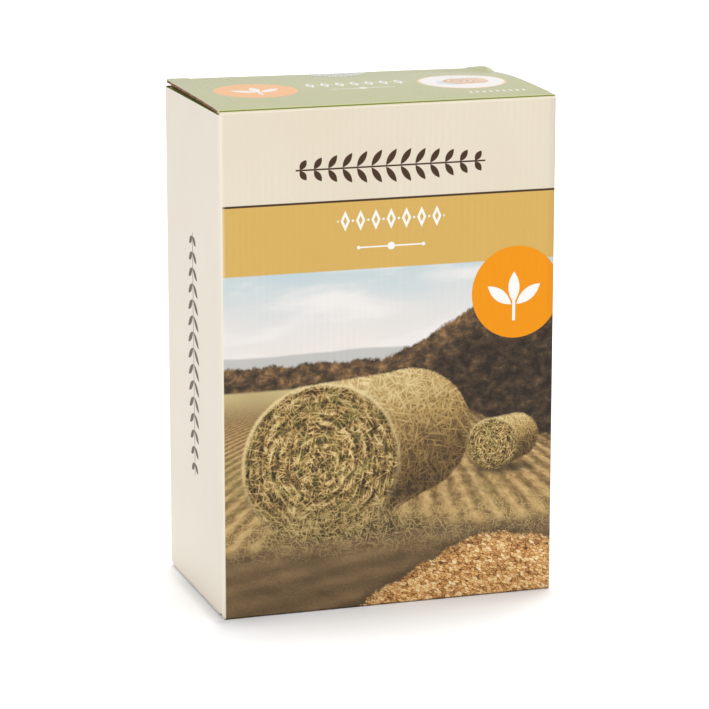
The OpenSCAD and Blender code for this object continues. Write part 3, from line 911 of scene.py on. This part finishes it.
def curve(points, x):
    """A smooth line through the points (Catmull-Rom), flat outside them."""
    if x <= points[0][0]:
        return points[0][1]
    for i in range(len(points) - 1):
        (x0, y0), (x1, y1) = points[i], points[i + 1]
        if x <= x1:
            h = x1 - x0
            before = points[i - 1] if i else points[0]
            after = points[i + 2] if i + 2 < len(points) else points[-1]
            m0 = (y1 - before[1]) / (x1 - before[0]) * h
            m1 = (after[1] - y0) / (after[0] - x0) * h
            t = (x - x0) / h
            return ((2 * t ** 3 - 3 * t * t + 1) * y0 + (t ** 3 - 2 * t * t + t) * m0
                    + (3 * t * t - 2 * t ** 3) * y1 + (t ** 3 - t * t) * m1)
    return points[-1][1]


# ---------------------------------------------------------------- the closed top

LID_RIGHT = [(0, 0), (3, -0.1), (17, 0.22), (41, 0.36), (60, 0.1), (68, -0.25), (82, -1.2), (89, -1.78), (96, -1.5), (101, -1.3)]
LID_MID = [(0, 0), (25, 0.3), (50, 0.3), (75, -0.2), (101, -0.85)]
LID_LEFT = [(0, 0), (20, 0.2), (45, 0.3), (70, 0.2), (88, 0.08), (101, -0.05)]


def lid_rise(a, b):
    """How the closed lid bows and twists off its plane."""
    u = a / 88
    r, l = sstep(0.30, 1.0, u), sstep(-0.1, 0.9, -u)
    h = curve(LID_RIGHT, b) * r + curve(LID_LEFT, b) * l + curve(LID_MID, b) * (1 - r - l)
    h += (-0.80 - 0.035 * (86 - a) - h) * sstep(90.2, 92.2, b) * sstep(74, 76.5, a)
    h += (-0.02 - h) * sstep(95, 101.5, b) * sstep(74, 77, -a)
    return h


def lid_point(a, b, c):
    m = 1.15 * c
    b += m * (1 - sstep(1.2, 8, b))
    b -= m * sstep(93, LB - 1.1, b) * (1 - sstep(74.2, 76, abs(a)))
    y, z = b, lid_rise(a, b) - c
    ct, st = math.cos(TILT), math.sin(TILT)
    return (a, -HD + y * ct - z * st, TOP + y * st + z * ct)


LEAN = math.radians(-11)


def tuck_point(a, b, c):
    b += 1.15 * c * (1 - sstep(1.2, 6, b)) * (1 - sstep(74.2, 76, abs(a)))
    y, z = -c, -b
    y, z = LB + y * math.cos(LEAN) - z * math.sin(LEAN), y * math.sin(LEAN) + z * math.cos(LEAN)
    z += lid_rise(clamp(a, -74, 74), LB)
    ct, st = math.cos(TILT), math.sin(TILT)
    return (a, -HD + y * ct - z * st, TOP + y * st + z * ct)


def dust_point(side):
    def place(p, q, c):
        p += 1.15 * c * (1 - sstep(1.2, 6, p))
        return (side * (HW - p), q, SIDE_TOP - c - 0.7 * (p / 46) ** 2)
    return place


kraft_lid = kraft_material("kraft_lid", 1.0, 11.0, (0, 1))
kraft_dust = kraft_material("kraft_dust", 0.98, 12.0, (1, 0))
kraft_x = kraft_material("kraft_front_back", 0.97, 13.0, (0, 2))
kraft_y = kraft_material("kraft_sides", 0.97, 14.0, (1, 2))
kraft_base = kraft_material("kraft_base", 0.95, 15.0, (0, 1))
cut = raw_edge_material("board_cut_edge", True)
cut_wall = raw_edge_material("wall_cut_edge", False)
flute = flute_material()
lid_print = lid_material()
green_tuck = green_material("green_tuck", 21.0, (0, 1))
green_dust = green_material("green_dust", 22.0, (1, 0))
# the dust flaps' green as it looks in the shade under the lid: painted shade
DUST_GREEN_IN_SHADE = rgb(104, 112, 46)
# the pale stop partway up the lid crease is a painted highlight where the fold turns
fold_lid = crease_material("fold_lid", ((0.0, CREAM), (0.20, CREAM), (0.29, rgb(248, 243, 210)), (0.37, rgb(158, 164, 84)), (0.45, CREASE_GREEN), (1.0, CREASE_GREEN)), 31.0)
# painted highlight where the dust crease turns, then the flap's green in painted shade
fold_dust = crease_material("fold_dust", ((0.0, CREAM_SIDE), (0.30, rgb(244, 241, 226)), (0.42, rgb(250, 248, 234)), (0.56, rgb(112, 122, 50)), (1.0, DUST_GREEN_IN_SHADE)), 33.0)
fold_green = crease_material("fold_green", ((0.0, LID_GREEN), (0.35, rgb(172, 174, 112)), (0.7, rgb(142, 146, 76)), (1.0, GREEN)), 32.0)
base_print = base_material()


def straight(levels):
    """Edge kind: a crease where both ends are at one of the given levels (axis, value, limit)."""
    def kind(p, q):
        for axis, value, limit in levels:
            if abs(p[axis] - value) < 0.02 and abs(q[axis] - value) < 0.02 and max(abs(p[1 - axis]), abs(q[1 - axis])) <= limit:
                return "crease"
        return None
    return kind


def edge_kind(levels, flutes):
    test = straight(levels)

    def kind(p, q):
        d = q - p
        return test(p, q) or ("across" if abs(d[1 - flutes]) > 0.35 * d.length else "along")
    return kind


lid_outline = [(-87.3, 1.1), (87.3, 1.1), (87.5, 1.9), (87.5, 90.4), (86.9, 91.2), (86.9, 93.0), (86.4, 101.2), (84.2, 102.7), (77.4, 102.7), (74.6, LB - 1.1),
               (-74.6, LB - 1.1), (-77.4, 102.7), (-85.4, 102.7), (-87.5, 100.8), (-87.5, 1.9)]
lid_board = board("lid_board", rounded(lid_outline, {6: 1.2, 8: 0.8, 11: 0.8, 12: 1.2}), edge_kind([(1, 1.1, 87.4), (1, LB - 1.1, 74.7)], 1),
                  lid_point, [lid_print, kraft_lid, cut, flute], "lid", ["lid_panel"], step=4.0, pitch=1.5, crush=0.10)

tuck_outline = [(-74.2, 1.1), (-74.2, 2.6), (-84.4, 2.6), (-84.4, 18.0), (84.4, 18.0), (84.4, 2.6), (74.2, 2.6), (74.2, 1.1)]
tuck_board = board("tuck_board", rounded(tuck_outline, {2: 1.0, 3: 12.0, 4: 12.0, 5: 1.0}), edge_kind([(1, 1.1, 75)], 1),
                   tuck_point, [green_tuck, kraft_lid, cut, flute], "tuck", ["tuck_flap"], step=7.0)

DUST_A, DUST_B = -HD + 2.7, HD - 5.2      # ends of the dust flaps' creases
dust_outline = [(1.1, DUST_A), (46, -HD + 39.5), (46, HD - 14), (42, HD - 11), (16, DUST_B), (1.1, DUST_B)]
for side, word in ((-1, "left"), (1, "right")):
    board(f"dust_board_{word}", rounded(dust_outline, {1: 7, 2: 2.5, 3: 2.5, 4: 6}), edge_kind([(0, 1.1, HD)], 0),
          dust_point(side), [green_dust, kraft_dust, cut, flute], f"dust_{word}", [f"dust_flap_{word}"], step=8.0)


def span(a, b, step):
    n = max(2, math.ceil(abs(b - a) / step))
    return [a + (b - a) * i / n for i in range(n + 1)]


def corner(a):
    """How far the upright folds carry the front's face back near its ends."""
    return R - math.sqrt(R * R - max(abs(a) - 86.0, 0.0) ** 2)


# creases between lid and front wall, tuck and lid, dust flaps and side walls
crease("lid_fold_strip", [-87.3, -87.1, -86.8, -86.4] + span(-86.0, 86.0, 4.3) + [86.4, 86.8, 87.1, 87.3],
       lambda a: ((a, -HD + corner(a), TOP - CR), (a, -HD + corner(a), TOP), lid_point(a, CR, 0)),
       lambda a: ((a, -HD + BOARD, TOP - CR - BOARD), (a, -HD + 2.25, TOP - 2.25), lid_point(a, CR, BOARD)),
       [fold_lid, kraft_lid, cut_wall], (0, -HD + 0.1, TOP - 0.85), (0, -HD + 0.85, TOP - 0.1))
crease("tuck_fold_strip", span(-74.2, 74.2, 4.5),
       lambda a: (lid_point(a, LB - 1.1, 0), tuck_point(a, 0, 0), tuck_point(a, CR, 0)),
       lambda a: (lid_point(a, LB - 1.1, BOARD), tuck_point(a, 1.9, 2.1), tuck_point(a, CR, BOARD)),
       [fold_green, kraft_lid, cut_wall], lid_point(0, LB - 0.7, 0.15), tuck_point(0, 0.7, 0.15))
for side, word in ((-1, "left"), (1, "right")):
    place = dust_point(side)
    crease(f"dust_fold_strip_{word}", span(DUST_A, DUST_B, 4.5),
           lambda q: ((side * HW, q, SIDE_TOP - CR), (side * HW, q, SIDE_TOP), place(CR, q, 0)),
           lambda q: ((side * (HW - BOARD), q, SIDE_TOP - CR - BOARD), (side * 85.75, q, 253.95), place(CR, q, BOARD)),
           [fold_dust, kraft_dust, cut_wall],
           (side * 87.9, 0, 255.35), (side * 87.15, 0, 256.1))


# ---------------------------------------------------------------- walls

def arc_stations(cx, cy, a0, a1, n):
    out = []
    for i in range(n + 1):
        t = math.radians(a0 + (a1 - a0) * i / n)
        out.append((cx + R * math.cos(t), cy + R * math.sin(t), -math.cos(t), -math.sin(t)))
    return out


def line_stations(p, q, normal, extra=()):
    """Points from p to q, close together at the ends where the creases begin."""
    ln = math.dist(p, q)
    at = {0.0, ln}
    at |= {d for d in (0.2, 0.45, 0.75, 1.1, 1.6, 3.0)} | {ln - d for d in (0.2, 0.45, 0.75, 1.1, 1.6, 3.0)} | set(extra)
    at |= {3.0 + (ln - 6.0) * i / max(1, round((ln - 6.0) / 6.0)) for i in range(1, max(1, round((ln - 6.0) / 6.0)))}
    out = []
    for d in sorted(at):
        t = d / ln
        out.append((p[0] + (q[0] - p[0]) * t, p[1] + (q[1] - p[1]) * t, normal[0], normal[1]))
    return out


LEVELS = 30


def wall(name, stations, shape, mats, node, ribbon=None):
    """One wall of the carton. shape(x, y) gives the height of its top, how far that is mitred, how far
    the middle of a raw top lies back, the height of its foot and how far the foot rolls under."""
    verts, rp, faces, fmat, rings = [], [], [], [], []
    kinds = None
    length = [0.0]
    for a, b in zip(stations, stations[1:]):
        length.append(length[-1] + math.dist(a[:2], b[:2]))
    for k, (px, py, nx, ny) in enumerate(stations):
        zt, m, e, zb, f = shape(px, py)
        pts, tags = [], []

        def put(d, z, tag):
            pts.append((d, z)); tags.append(tag)
        put(1.5, zt - 1.5 * m, 2)
        put(1.25, zt - 1.25 * m, 2)
        put(1.18, zt - 1.18 * m - e, 2)
        put(0.32, zt - 0.32 * m - e, 2)
        put(0.25, zt - 0.25 * m, 3)
        put(0.0, zt, 0)
        lo, hi = zb + 1.6, zt - 1.2
        for i in range(LEVELS + 1):
            put(0.0, hi + (lo - hi) * i / LEVELS, 0)
        raw = [(0.0, 0.8), (0.0, 0.5), (0.0, 0.25), (0.0, 0.0), (0.4, 0.0), (0.8, 0.0)]
        for i in range(6):
            t = math.radians(90 * i / 5)
            d, z = CR * (1 - math.cos(t)), CR * (1 - math.sin(t))
            put(raw[i][0] + (d - raw[i][0]) * f, zb + raw[i][1] + (z - raw[i][1]) * f, 0)
        put(1.5 + 0.1 * f, zb, 2)
        put(1.5 + 0.1 * f, zb + 0.9 + 0.55 * f, 1)
        lo, hi = zb + 1.6, zt - 2.9
        for i in range(LEVELS + 1):
            put(1.5, lo + (hi - lo) * i / LEVELS, 1)
        kinds = tags
        u = length[k] / length[-1]
        ring = []
        for d, z in pts:
            v = clamp((z - zb) / (zt - zb))
            sink = 0.30 * math.sin(math.pi * u) ** 0.7 * math.sin(math.pi * v) ** 0.7 * (0.6 + 0.4 * math.sin(5.3 * u + 3.1 * v))
            ring.append(len(verts))
            verts.append((px + nx * (d + sink), py + ny * (d + sink), z))
            rp.append((px + nx * d, py + ny * d, z))
        rings.append(ring)
    n = len(rings[0])
    for r0, r1 in zip(rings, rings[1:]):
        for i in range(n):
            j = (i + 1) % n
            faces.append((r0[i], r0[j], r1[j], r1[i])); fmat.append(kinds[i])
    faces.append(tuple(reversed(rings[0]))); fmat.append(2)
    faces.append(tuple(rings[-1])); fmat.append(2)
    if ribbon:
        x0, x1, z = ribbon
        prev, x = None, x0
        while x <= x1:
            mid = HD - 0.75 + 0.40 * math.sin(2 * math.pi * x / PITCH)
            now = []
            for y, zz in ((mid - 0.07, z), (mid + 0.07, z), (mid + 0.07, z - 1.05), (mid - 0.07, z - 1.05)):
                now.append(len(verts))
                verts.append((x, y, zz)); rp.append((x, y, zz))
            if prev:
                for a in range(4):
                    faces.append((prev[a], prev[(a + 1) % 4], now[(a + 1) % 4], now[a])); fmat.append(4)
            else:
                faces.append(tuple(now)); fmat.append(4)
            prev = now
            x += PITCH / 10
        faces.append(tuple(reversed(prev))); fmat.append(4)
    return make(name, verts, faces, mats, fmat, rp, "carton", [node])


def front_shape(x, y):
    ax = abs(x)
    arc, foot = sstep(87.2, 87.45, ax), sstep(86.6, 87.5, ax)
    on = 1 - sstep(87.1, 87.35, ax)
    return (TOP - CR) * (1 - arc) + 255.9 * arc, on, 0.0, 0.6 * foot, 1 - sstep(86.4, 87.1, ax)


def side_shape(last):
    def shape(x, y):
        front = sstep(-YC, -YC - 1.5, y)
        rear = 0.0 if last else sstep(YC, YC + 1.5, y)
        on = sstep(DUST_A - 0.45, DUST_A, y) * (1 - sstep(DUST_B, DUST_B + 0.45, y))
        zt = SIDE_TOP - 0.1 - (CR - 0.1) * on - 0.2 * front
        zb = 0.45 + 1.25 * sstep(-YC + 8, -YC + 1.5, y) * (1 - front) + 0.25 * front + 2.3 * sstep(YC - 4.5, YC + 1.2, y)
        roll = sstep(-YC + 0.1, -YC + 0.8, y) * (1 - sstep(YC - 0.8, YC - 0.1, y))
        return zt, on, 0.9 * (1 - on) * (1 - front) * (1 - rear), zb, roll
    return shape


def back_shape(x, y):
    arc = sstep(86.0, 87.5, -x) + sstep(84.5, 86.0, x)
    return SIDE_TOP - 0.1 * arc, 0.0, 1.0 * (1 - arc), 3.0 - 0.75 * sstep(86.0, 87.5, -x), 1 - sstep(85.2, 85.9, -x) - sstep(83.7, 84.4, x)


def glue_shape(x, y):
    k = clamp((y - YC + 22) / 22)
    return 236.2 + 10.0 * k, 0.0, 0.0, 18.0 - 10.0 * k, 0.0


front_print = front_material()
left_print = side_material("print_left", 1)
right_print = side_material("print_right", -1)
back_print = back_material()
liner = liner_material()

half = 7
wall("front_wall", arc_stations(-86, -YC, 225, 270, half)[:-1] + line_stations((-86, -HD), (86, -HD), (0, 1))
     + arc_stations(86, -YC, 270, 315, half)[1:], front_shape, [front_print, kraft_x, cut_wall, liner, flute], "front_panel")
wall("left_wall", arc_stations(-86, YC, 135, 180, half)[:-1] + line_stations((-88, YC), (-88, -YC), (1, 0), (2.6, 2.8, 3.2, 3.4, 3.8))
     + arc_stations(-86, -YC, 180, 225, half)[1:], side_shape(False), [left_print, kraft_y, cut_wall, liner, flute], "left_panel")
wall("right_wall", arc_stations(86, -YC, 315, 360, half)[:-1] + line_stations((88, -YC), (88, HD - 0.2), (-1, 0), (95.4, 95.8, 96.0, 96.25, 96.6)),
     side_shape(True), [right_print, kraft_y, cut_wall, liner, flute], "right_panel")
wall("back_wall", arc_stations(84.5, YC, 45, 90, half)[:-1] + line_stations((84.5, HD), (-86, HD), (0, -1))
     + arc_stations(-86, YC, 90, 135, half)[1:], back_shape, [back_print, kraft_x, cut_wall, liner, flute], "back_panel",
     ribbon=(-85.0, 83.5, SIDE_TOP - 0.04))
wall("glue_tab", line_stations((86.5, YC - 22), (86.5, YC), (-1, 0)) + arc_stations(84.5, YC, 0, 45, half)[1:], glue_shape,
     [kraft_y, kraft_y, cut_wall, liner, flute], "glue_flap")


# ---------------------------------------------------------------- bottom flaps

def base_board(name, outline, cuts, kind, place, node):
    return board(name, rounded(outline, cuts), kind, place, [base_print, kraft_base, cut, flute], "carton", [node], step=12.0)


base_board("bottom_outer_board", [(-84.6, 1.65), (84.6, 1.65), (85.9, 5.0), (85.9, DEPTH - 0.5), (-85.9, DEPTH - 0.5), (-85.9, 5.0)], {},
           edge_kind([(1, 1.65, 86)], 1), lambda a, b, c: (a, -HD + b, c), "bottom_outer_flap")
for side, word in ((-1, "left"), (1, "right")):
    base_board(f"bottom_side_board_{word}", [(1.65, -HD + 3.0), (24, -HD + 2.2), (62, -HD + 10), (62, HD - 10), (24, HD - 2.2), (1.65, HD - 3.0)], {2: 5, 3: 5},
               edge_kind([(0, 1.65, HD)], 0), lambda p, q, c: (side * (HW - p), q, 1.5 + c), f"bottom_side_flap_{word}")
base_board("bottom_inner_board", [(-83.4, 1.65), (-84.6, 5.0), (-84.6, HD - 20), (-72, HD - 2), (72, HD - 2), (83.2, HD - 20), (83.2, 5.0), (82.0, 1.65)][::-1], {3: 4, 4: 4},
           edge_kind([(1, 1.65, 85)], 1), lambda a, b, c: (a, HD - b, 3.0 + c), "bottom_inner_flap")


# ---------------------------------------------------------------- closure seal, slit along the edge

def film(name, radius, cb, limit, place, body, node):
    """A thin film on a face: the part of a disc round (3, cb) whose b is under limit."""
    w = math.sqrt(radius ** 2 - (cb - limit) ** 2)
    t0 = math.atan2(limit - cb, -w)
    t1 = math.atan2(limit - cb, w) + 2 * math.pi
    t0 = t0 + 2 * math.pi if t0 < 0 else t0
    pts = [Vector((radius * math.cos(t0 + (t1 - t0) * i / 60), cb + radius * math.sin(t0 + (t1 - t0) * i / 60))) for i in range(61)]
    pts += [Vector((w - 2 * w * i / 12, limit)) for i in range(1, 12)]
    flat, tris, ring = fill(pts, 2.2)
    verts, rp, faces = [], [], []
    for c in (-0.10, -0.02):
        for p in flat:
            verts.append(place(3.0 + p.x, p.y, c))
            rp.append((p.x, p.y - cb, c))
    n, base = len(ring), len(flat)
    for t in tris:
        faces.append(tuple(t))
        faces.append(tuple(base + i for i in reversed(t)))
    for i in range(n):
        j = (i + 1) % n
        faces.append((ring[i], ring[j], base + ring[j], base + ring[i]))
    return make(name, verts, faces, [film_print], [0] * len(faces), rp, body, [node], angle=40)


film_print = film_material()
film("seal_upper", 16.5, DEPTH, LB - 0.8, lid_point, "lid", "seal_upper_half")
film("seal_lower", 16.5, 0.0, -0.35, lambda a, b, c: (a, HD - c, SIDE_TOP + b), "carton", "seal_lower_half")


# ---------------------------------------------------------------- hay rack

RACK_W, RACK_H, RACK_TOP, RACK_FOOT, WOOD = 80.0, 218.0, 92.0, 32.0, 9.0
RZ, RY = 4.6, HD - 4.5
RIM = RZ + RACK_H
IN = RACK_W - WOOD
SLOPE = math.atan2(RACK_TOP - RACK_FOOT, RACK_H)
SLOPE_LEN = math.hypot(RACK_TOP - RACK_FOOT, RACK_H)
WIN = (SLOPE_LEN - 26 - 36 - 19) / 3
P = [0, 26, 26 + WIN, 44 + WIN, 44 + 2 * WIN, 62 + 2 * WIN, 62 + 3 * WIN]
SU, CU = math.sin(SLOPE), math.cos(SLOPE)


def slope_point(v, w):
    """v inwards from the sloping front, w up the slope, as (y, z)."""
    return (RY - RACK_FOOT + v * CU - w * SU, RZ + v * SU + w * CU)


def clip(poly, z, keep_below):
    out = []
    for i, p in enumerate(poly):
        q = poly[(i + 1) % len(poly)]
        pi, qi = (p[1] <= z) == keep_below or p[1] == z, (q[1] <= z) == keep_below or q[1] == z
        if pi:
            out.append(p)
        if pi != qi:
            t = (z - p[1]) / (q[1] - p[1])
            out.append((p[0] + (q[0] - p[0]) * t, z))
    return out


def timber(name, poly, x0, x1, rpf, mats, pick, node, bevel=0.7):
    """A planed board: a prism along X with its arrises eased. rpf turns a point into the wood's own
    coordinates (along the grain, across, through); pick(normal) chooses the material."""
    n = len(poly)
    bm = bmesh.new()
    a = [bm.verts.new((x0, y, z)) for y, z in poly]
    b = [bm.verts.new((x1, y, z)) for y, z in poly]
    bm.faces.new(a)
    bm.faces.new(list(reversed(b)))
    for i in range(n):
        j = (i + 1) % n
        bm.faces.new((a[i], b[i], b[j], a[j]))
    bmesh.ops.recalc_face_normals(bm, faces=bm.faces)
    bmesh.ops.bevel(bm, geom=list(bm.edges), offset=bevel, offset_type="OFFSET", segments=3, profile=0.5, affect="EDGES", clamp_overlap=True)
    bm.verts.ensure_lookup_table()
    verts = [tuple(v.co) for v in bm.verts]
    faces = [tuple(v.index for v in f.verts) for f in bm.faces]
    normals = [f.normal.copy() for f in bm.faces]
    bm.free()
    return make(name, verts, faces, mats, [pick(v) for v in normals], [rpf(*v) for v in verts], "rack", [node], angle=50)


pine = pine_material()
blue = blue_material()
plain = lambda v: 0
cheek = [(RY, RZ), (RY, RIM), (RY - RACK_TOP, RIM), (RY - RACK_FOOT, RZ)]


def cheek_pick(v):
    """The cut edges stay bare wood; the two faces are painted."""
    return 0 if abs(v.x) > 0.25 else 1


for side, word in ((-1, "left"), (1, "right")):
    timber(f"rack_cheek_{word}", cheek, side * IN if side > 0 else -RACK_W, RACK_W if side > 0 else -IN,
           lambda x, y, z: (z, y + 31.0 * side, x * 0.35 + 7.0 * side), [blue, pine], cheek_pick, f"rack_side_{word}")
timber("rack_back", [(RY, RZ), (RY, RIM), (RY - WOOD, RIM), (RY - WOOD, RZ)], -IN + 0.05, IN - 0.05,
       lambda x, y, z: (z, x, y), [pine], plain, "rack_back_board")
y0 = RY - RACK_FOOT + WOOD / CU
timber("rack_floor", [(y0 + 0.1, RZ), (RY - WOOD - 0.05, RZ), (RY - WOOD - 0.05, RZ + WOOD), (y0 + 0.1 - WOOD * math.tan(SLOPE), RZ + WOOD)], -IN + 0.05, IN - 0.05,
       lambda x, y, z: (x, y + 60, z), [pine], plain, "rack_bottom_board")


def slope_grain(shift, upright=False):
    def rpf(x, y, z):
        dy, dz = y - (RY - RACK_FOOT), z - RZ
        v, w = dy * CU + dz * SU, -dy * SU + dz * CU
        return (w + shift, x + shift, v + 3) if upright else (x + shift, w + shift, v)
    return rpf


for k, (name, node, lo, hi) in enumerate((("rack_rail_foot", "rack_bottom_rail", -6, P[1]), ("rack_rail_lower", "rack_lower_mid_rail", P[2], P[3]),
                                          ("rack_rail_upper", "rack_upper_mid_rail", P[4], P[5]), ("rack_rail_rim", "rack_top_rail", P[6], SLOPE_LEN + 6))):
    poly = clip(clip([slope_point(0, lo), slope_point(WOOD, lo), slope_point(WOOD, hi), slope_point(0, hi)], RZ, False), RIM, True)
    timber(name, poly, -IN + 0.05, IN - 0.05, slope_grain(47.0 * k), [pine], plain, node)
for k, (name, node, lo, hi) in enumerate((("rack_slat_lower", "rack_lower_bar", P[1], P[2]), ("rack_slat_middle", "rack_middle_bar", P[3], P[4]),
                                          ("rack_slat_upper", "rack_upper_bar", P[5], P[6]))):
    poly = [slope_point(0, lo + 0.05), slope_point(WOOD, lo + 0.05), slope_point(WOOD, hi - 0.05), slope_point(0, hi - 0.05)]
    timber(name, poly, -9, 9, slope_grain(200 + 31.0 * k, True), [pine], plain, node)


# the turned pieces and the hooks keep their exact shape, eased at the edges
def ease(node, mat, width):
    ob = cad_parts[node]
    ob.data.materials.clear()
    ob.data.materials.append(mat)
    weld = ob.modifiers.new("weld", "WELD")
    weld.merge_threshold = 0.00002
    bev = ob.modifiers.new("ease", "BEVEL")
    bev.width = width
    bev.segments = 2
    bev.limit_method = "ANGLE"
    bev.angle_limit = math.radians(50)
    return ob


dowel = dowel_material()
steel = steel_material()
for node in ("rack_rail_dowels", "rack_bar_dowels"):
    ease(node, dowel, 0.0003)
for node in ("hook_left", "hook_right"):
    ease(node, steel, 0.00025)


# ---------------------------------------------------------------- floor, light and camera

floor_mesh = bpy.data.meshes.new("studio_floor")
reach = [-9.0, -3.0, -1.0, 0.0, 1.0, 3.0, 9.0]
fv = [(x, y, -0.00004) for y in reach for x in reach]
ff = [(7 * j + i, 7 * j + i + 1, 7 * j + i + 8, 7 * j + i + 7) for j in range(6) for i in range(6)]
floor_mesh.from_pydata(fv, [], ff)
floor = bpy.data.objects.new("studio_floor", floor_mesh)
bpy.context.scene.collection.objects.link(floor)
floor_mesh.materials.append(floor_material())

world = bpy.data.worlds.new("studio")
bpy.context.scene.world = world
world.use_nodes = True
world.node_tree.nodes["Background"].inputs[0].default_value = (1.0, 1.0, 1.0, 1.0)
world.node_tree.nodes["Background"].inputs[1].default_value = 1.0


def softbox(name, where, target, width, height, watts):
    light = bpy.data.lights.new(name, "AREA")
    light.shape = "RECTANGLE"
    light.size, light.size_y, light.energy = width, height, watts
    ob = bpy.data.objects.new(name, light)
    bpy.context.scene.collection.objects.link(ob)
    ob.location = where
    ob.rotation_mode = "QUATERNION"
    ob.rotation_quaternion = (Vector(target) - Vector(where)).to_track_quat("-Z", "Y")
    return ob


softbox("key", (-1.2, -1.5, 1.9), (0, 0, 0.12), 1.2, 1.2, 9.7)
softbox("fill", (1.6, -1.4, 1.1), (0, 0, 0.12), 1.4, 1.2, 4.3)
softbox("top", (0.55, 0.95, 1.6), (0, 0, 0.15), 1.4, 1.4, 16.8)

scene = bpy.context.scene
scene.view_settings.view_transform = "Standard"
scene.view_settings.look = "None"
camera = bpy.data.cameras.new("camera")
camera.lens, camera.sensor_width = 165.5, 36.0
camera.clip_start, camera.clip_end = 0.05, 50.0
cam = bpy.data.objects.new("camera", camera)
scene.collection.objects.link(cam)
cam.location = (-0.5074, -1.5599, 0.5015)
cam.rotation_mode = "QUATERNION"
cam.rotation_quaternion = Vector((0.30017, 0.92652, -0.22684)).to_track_quat("-Z", "Y")
scene.camera = cam
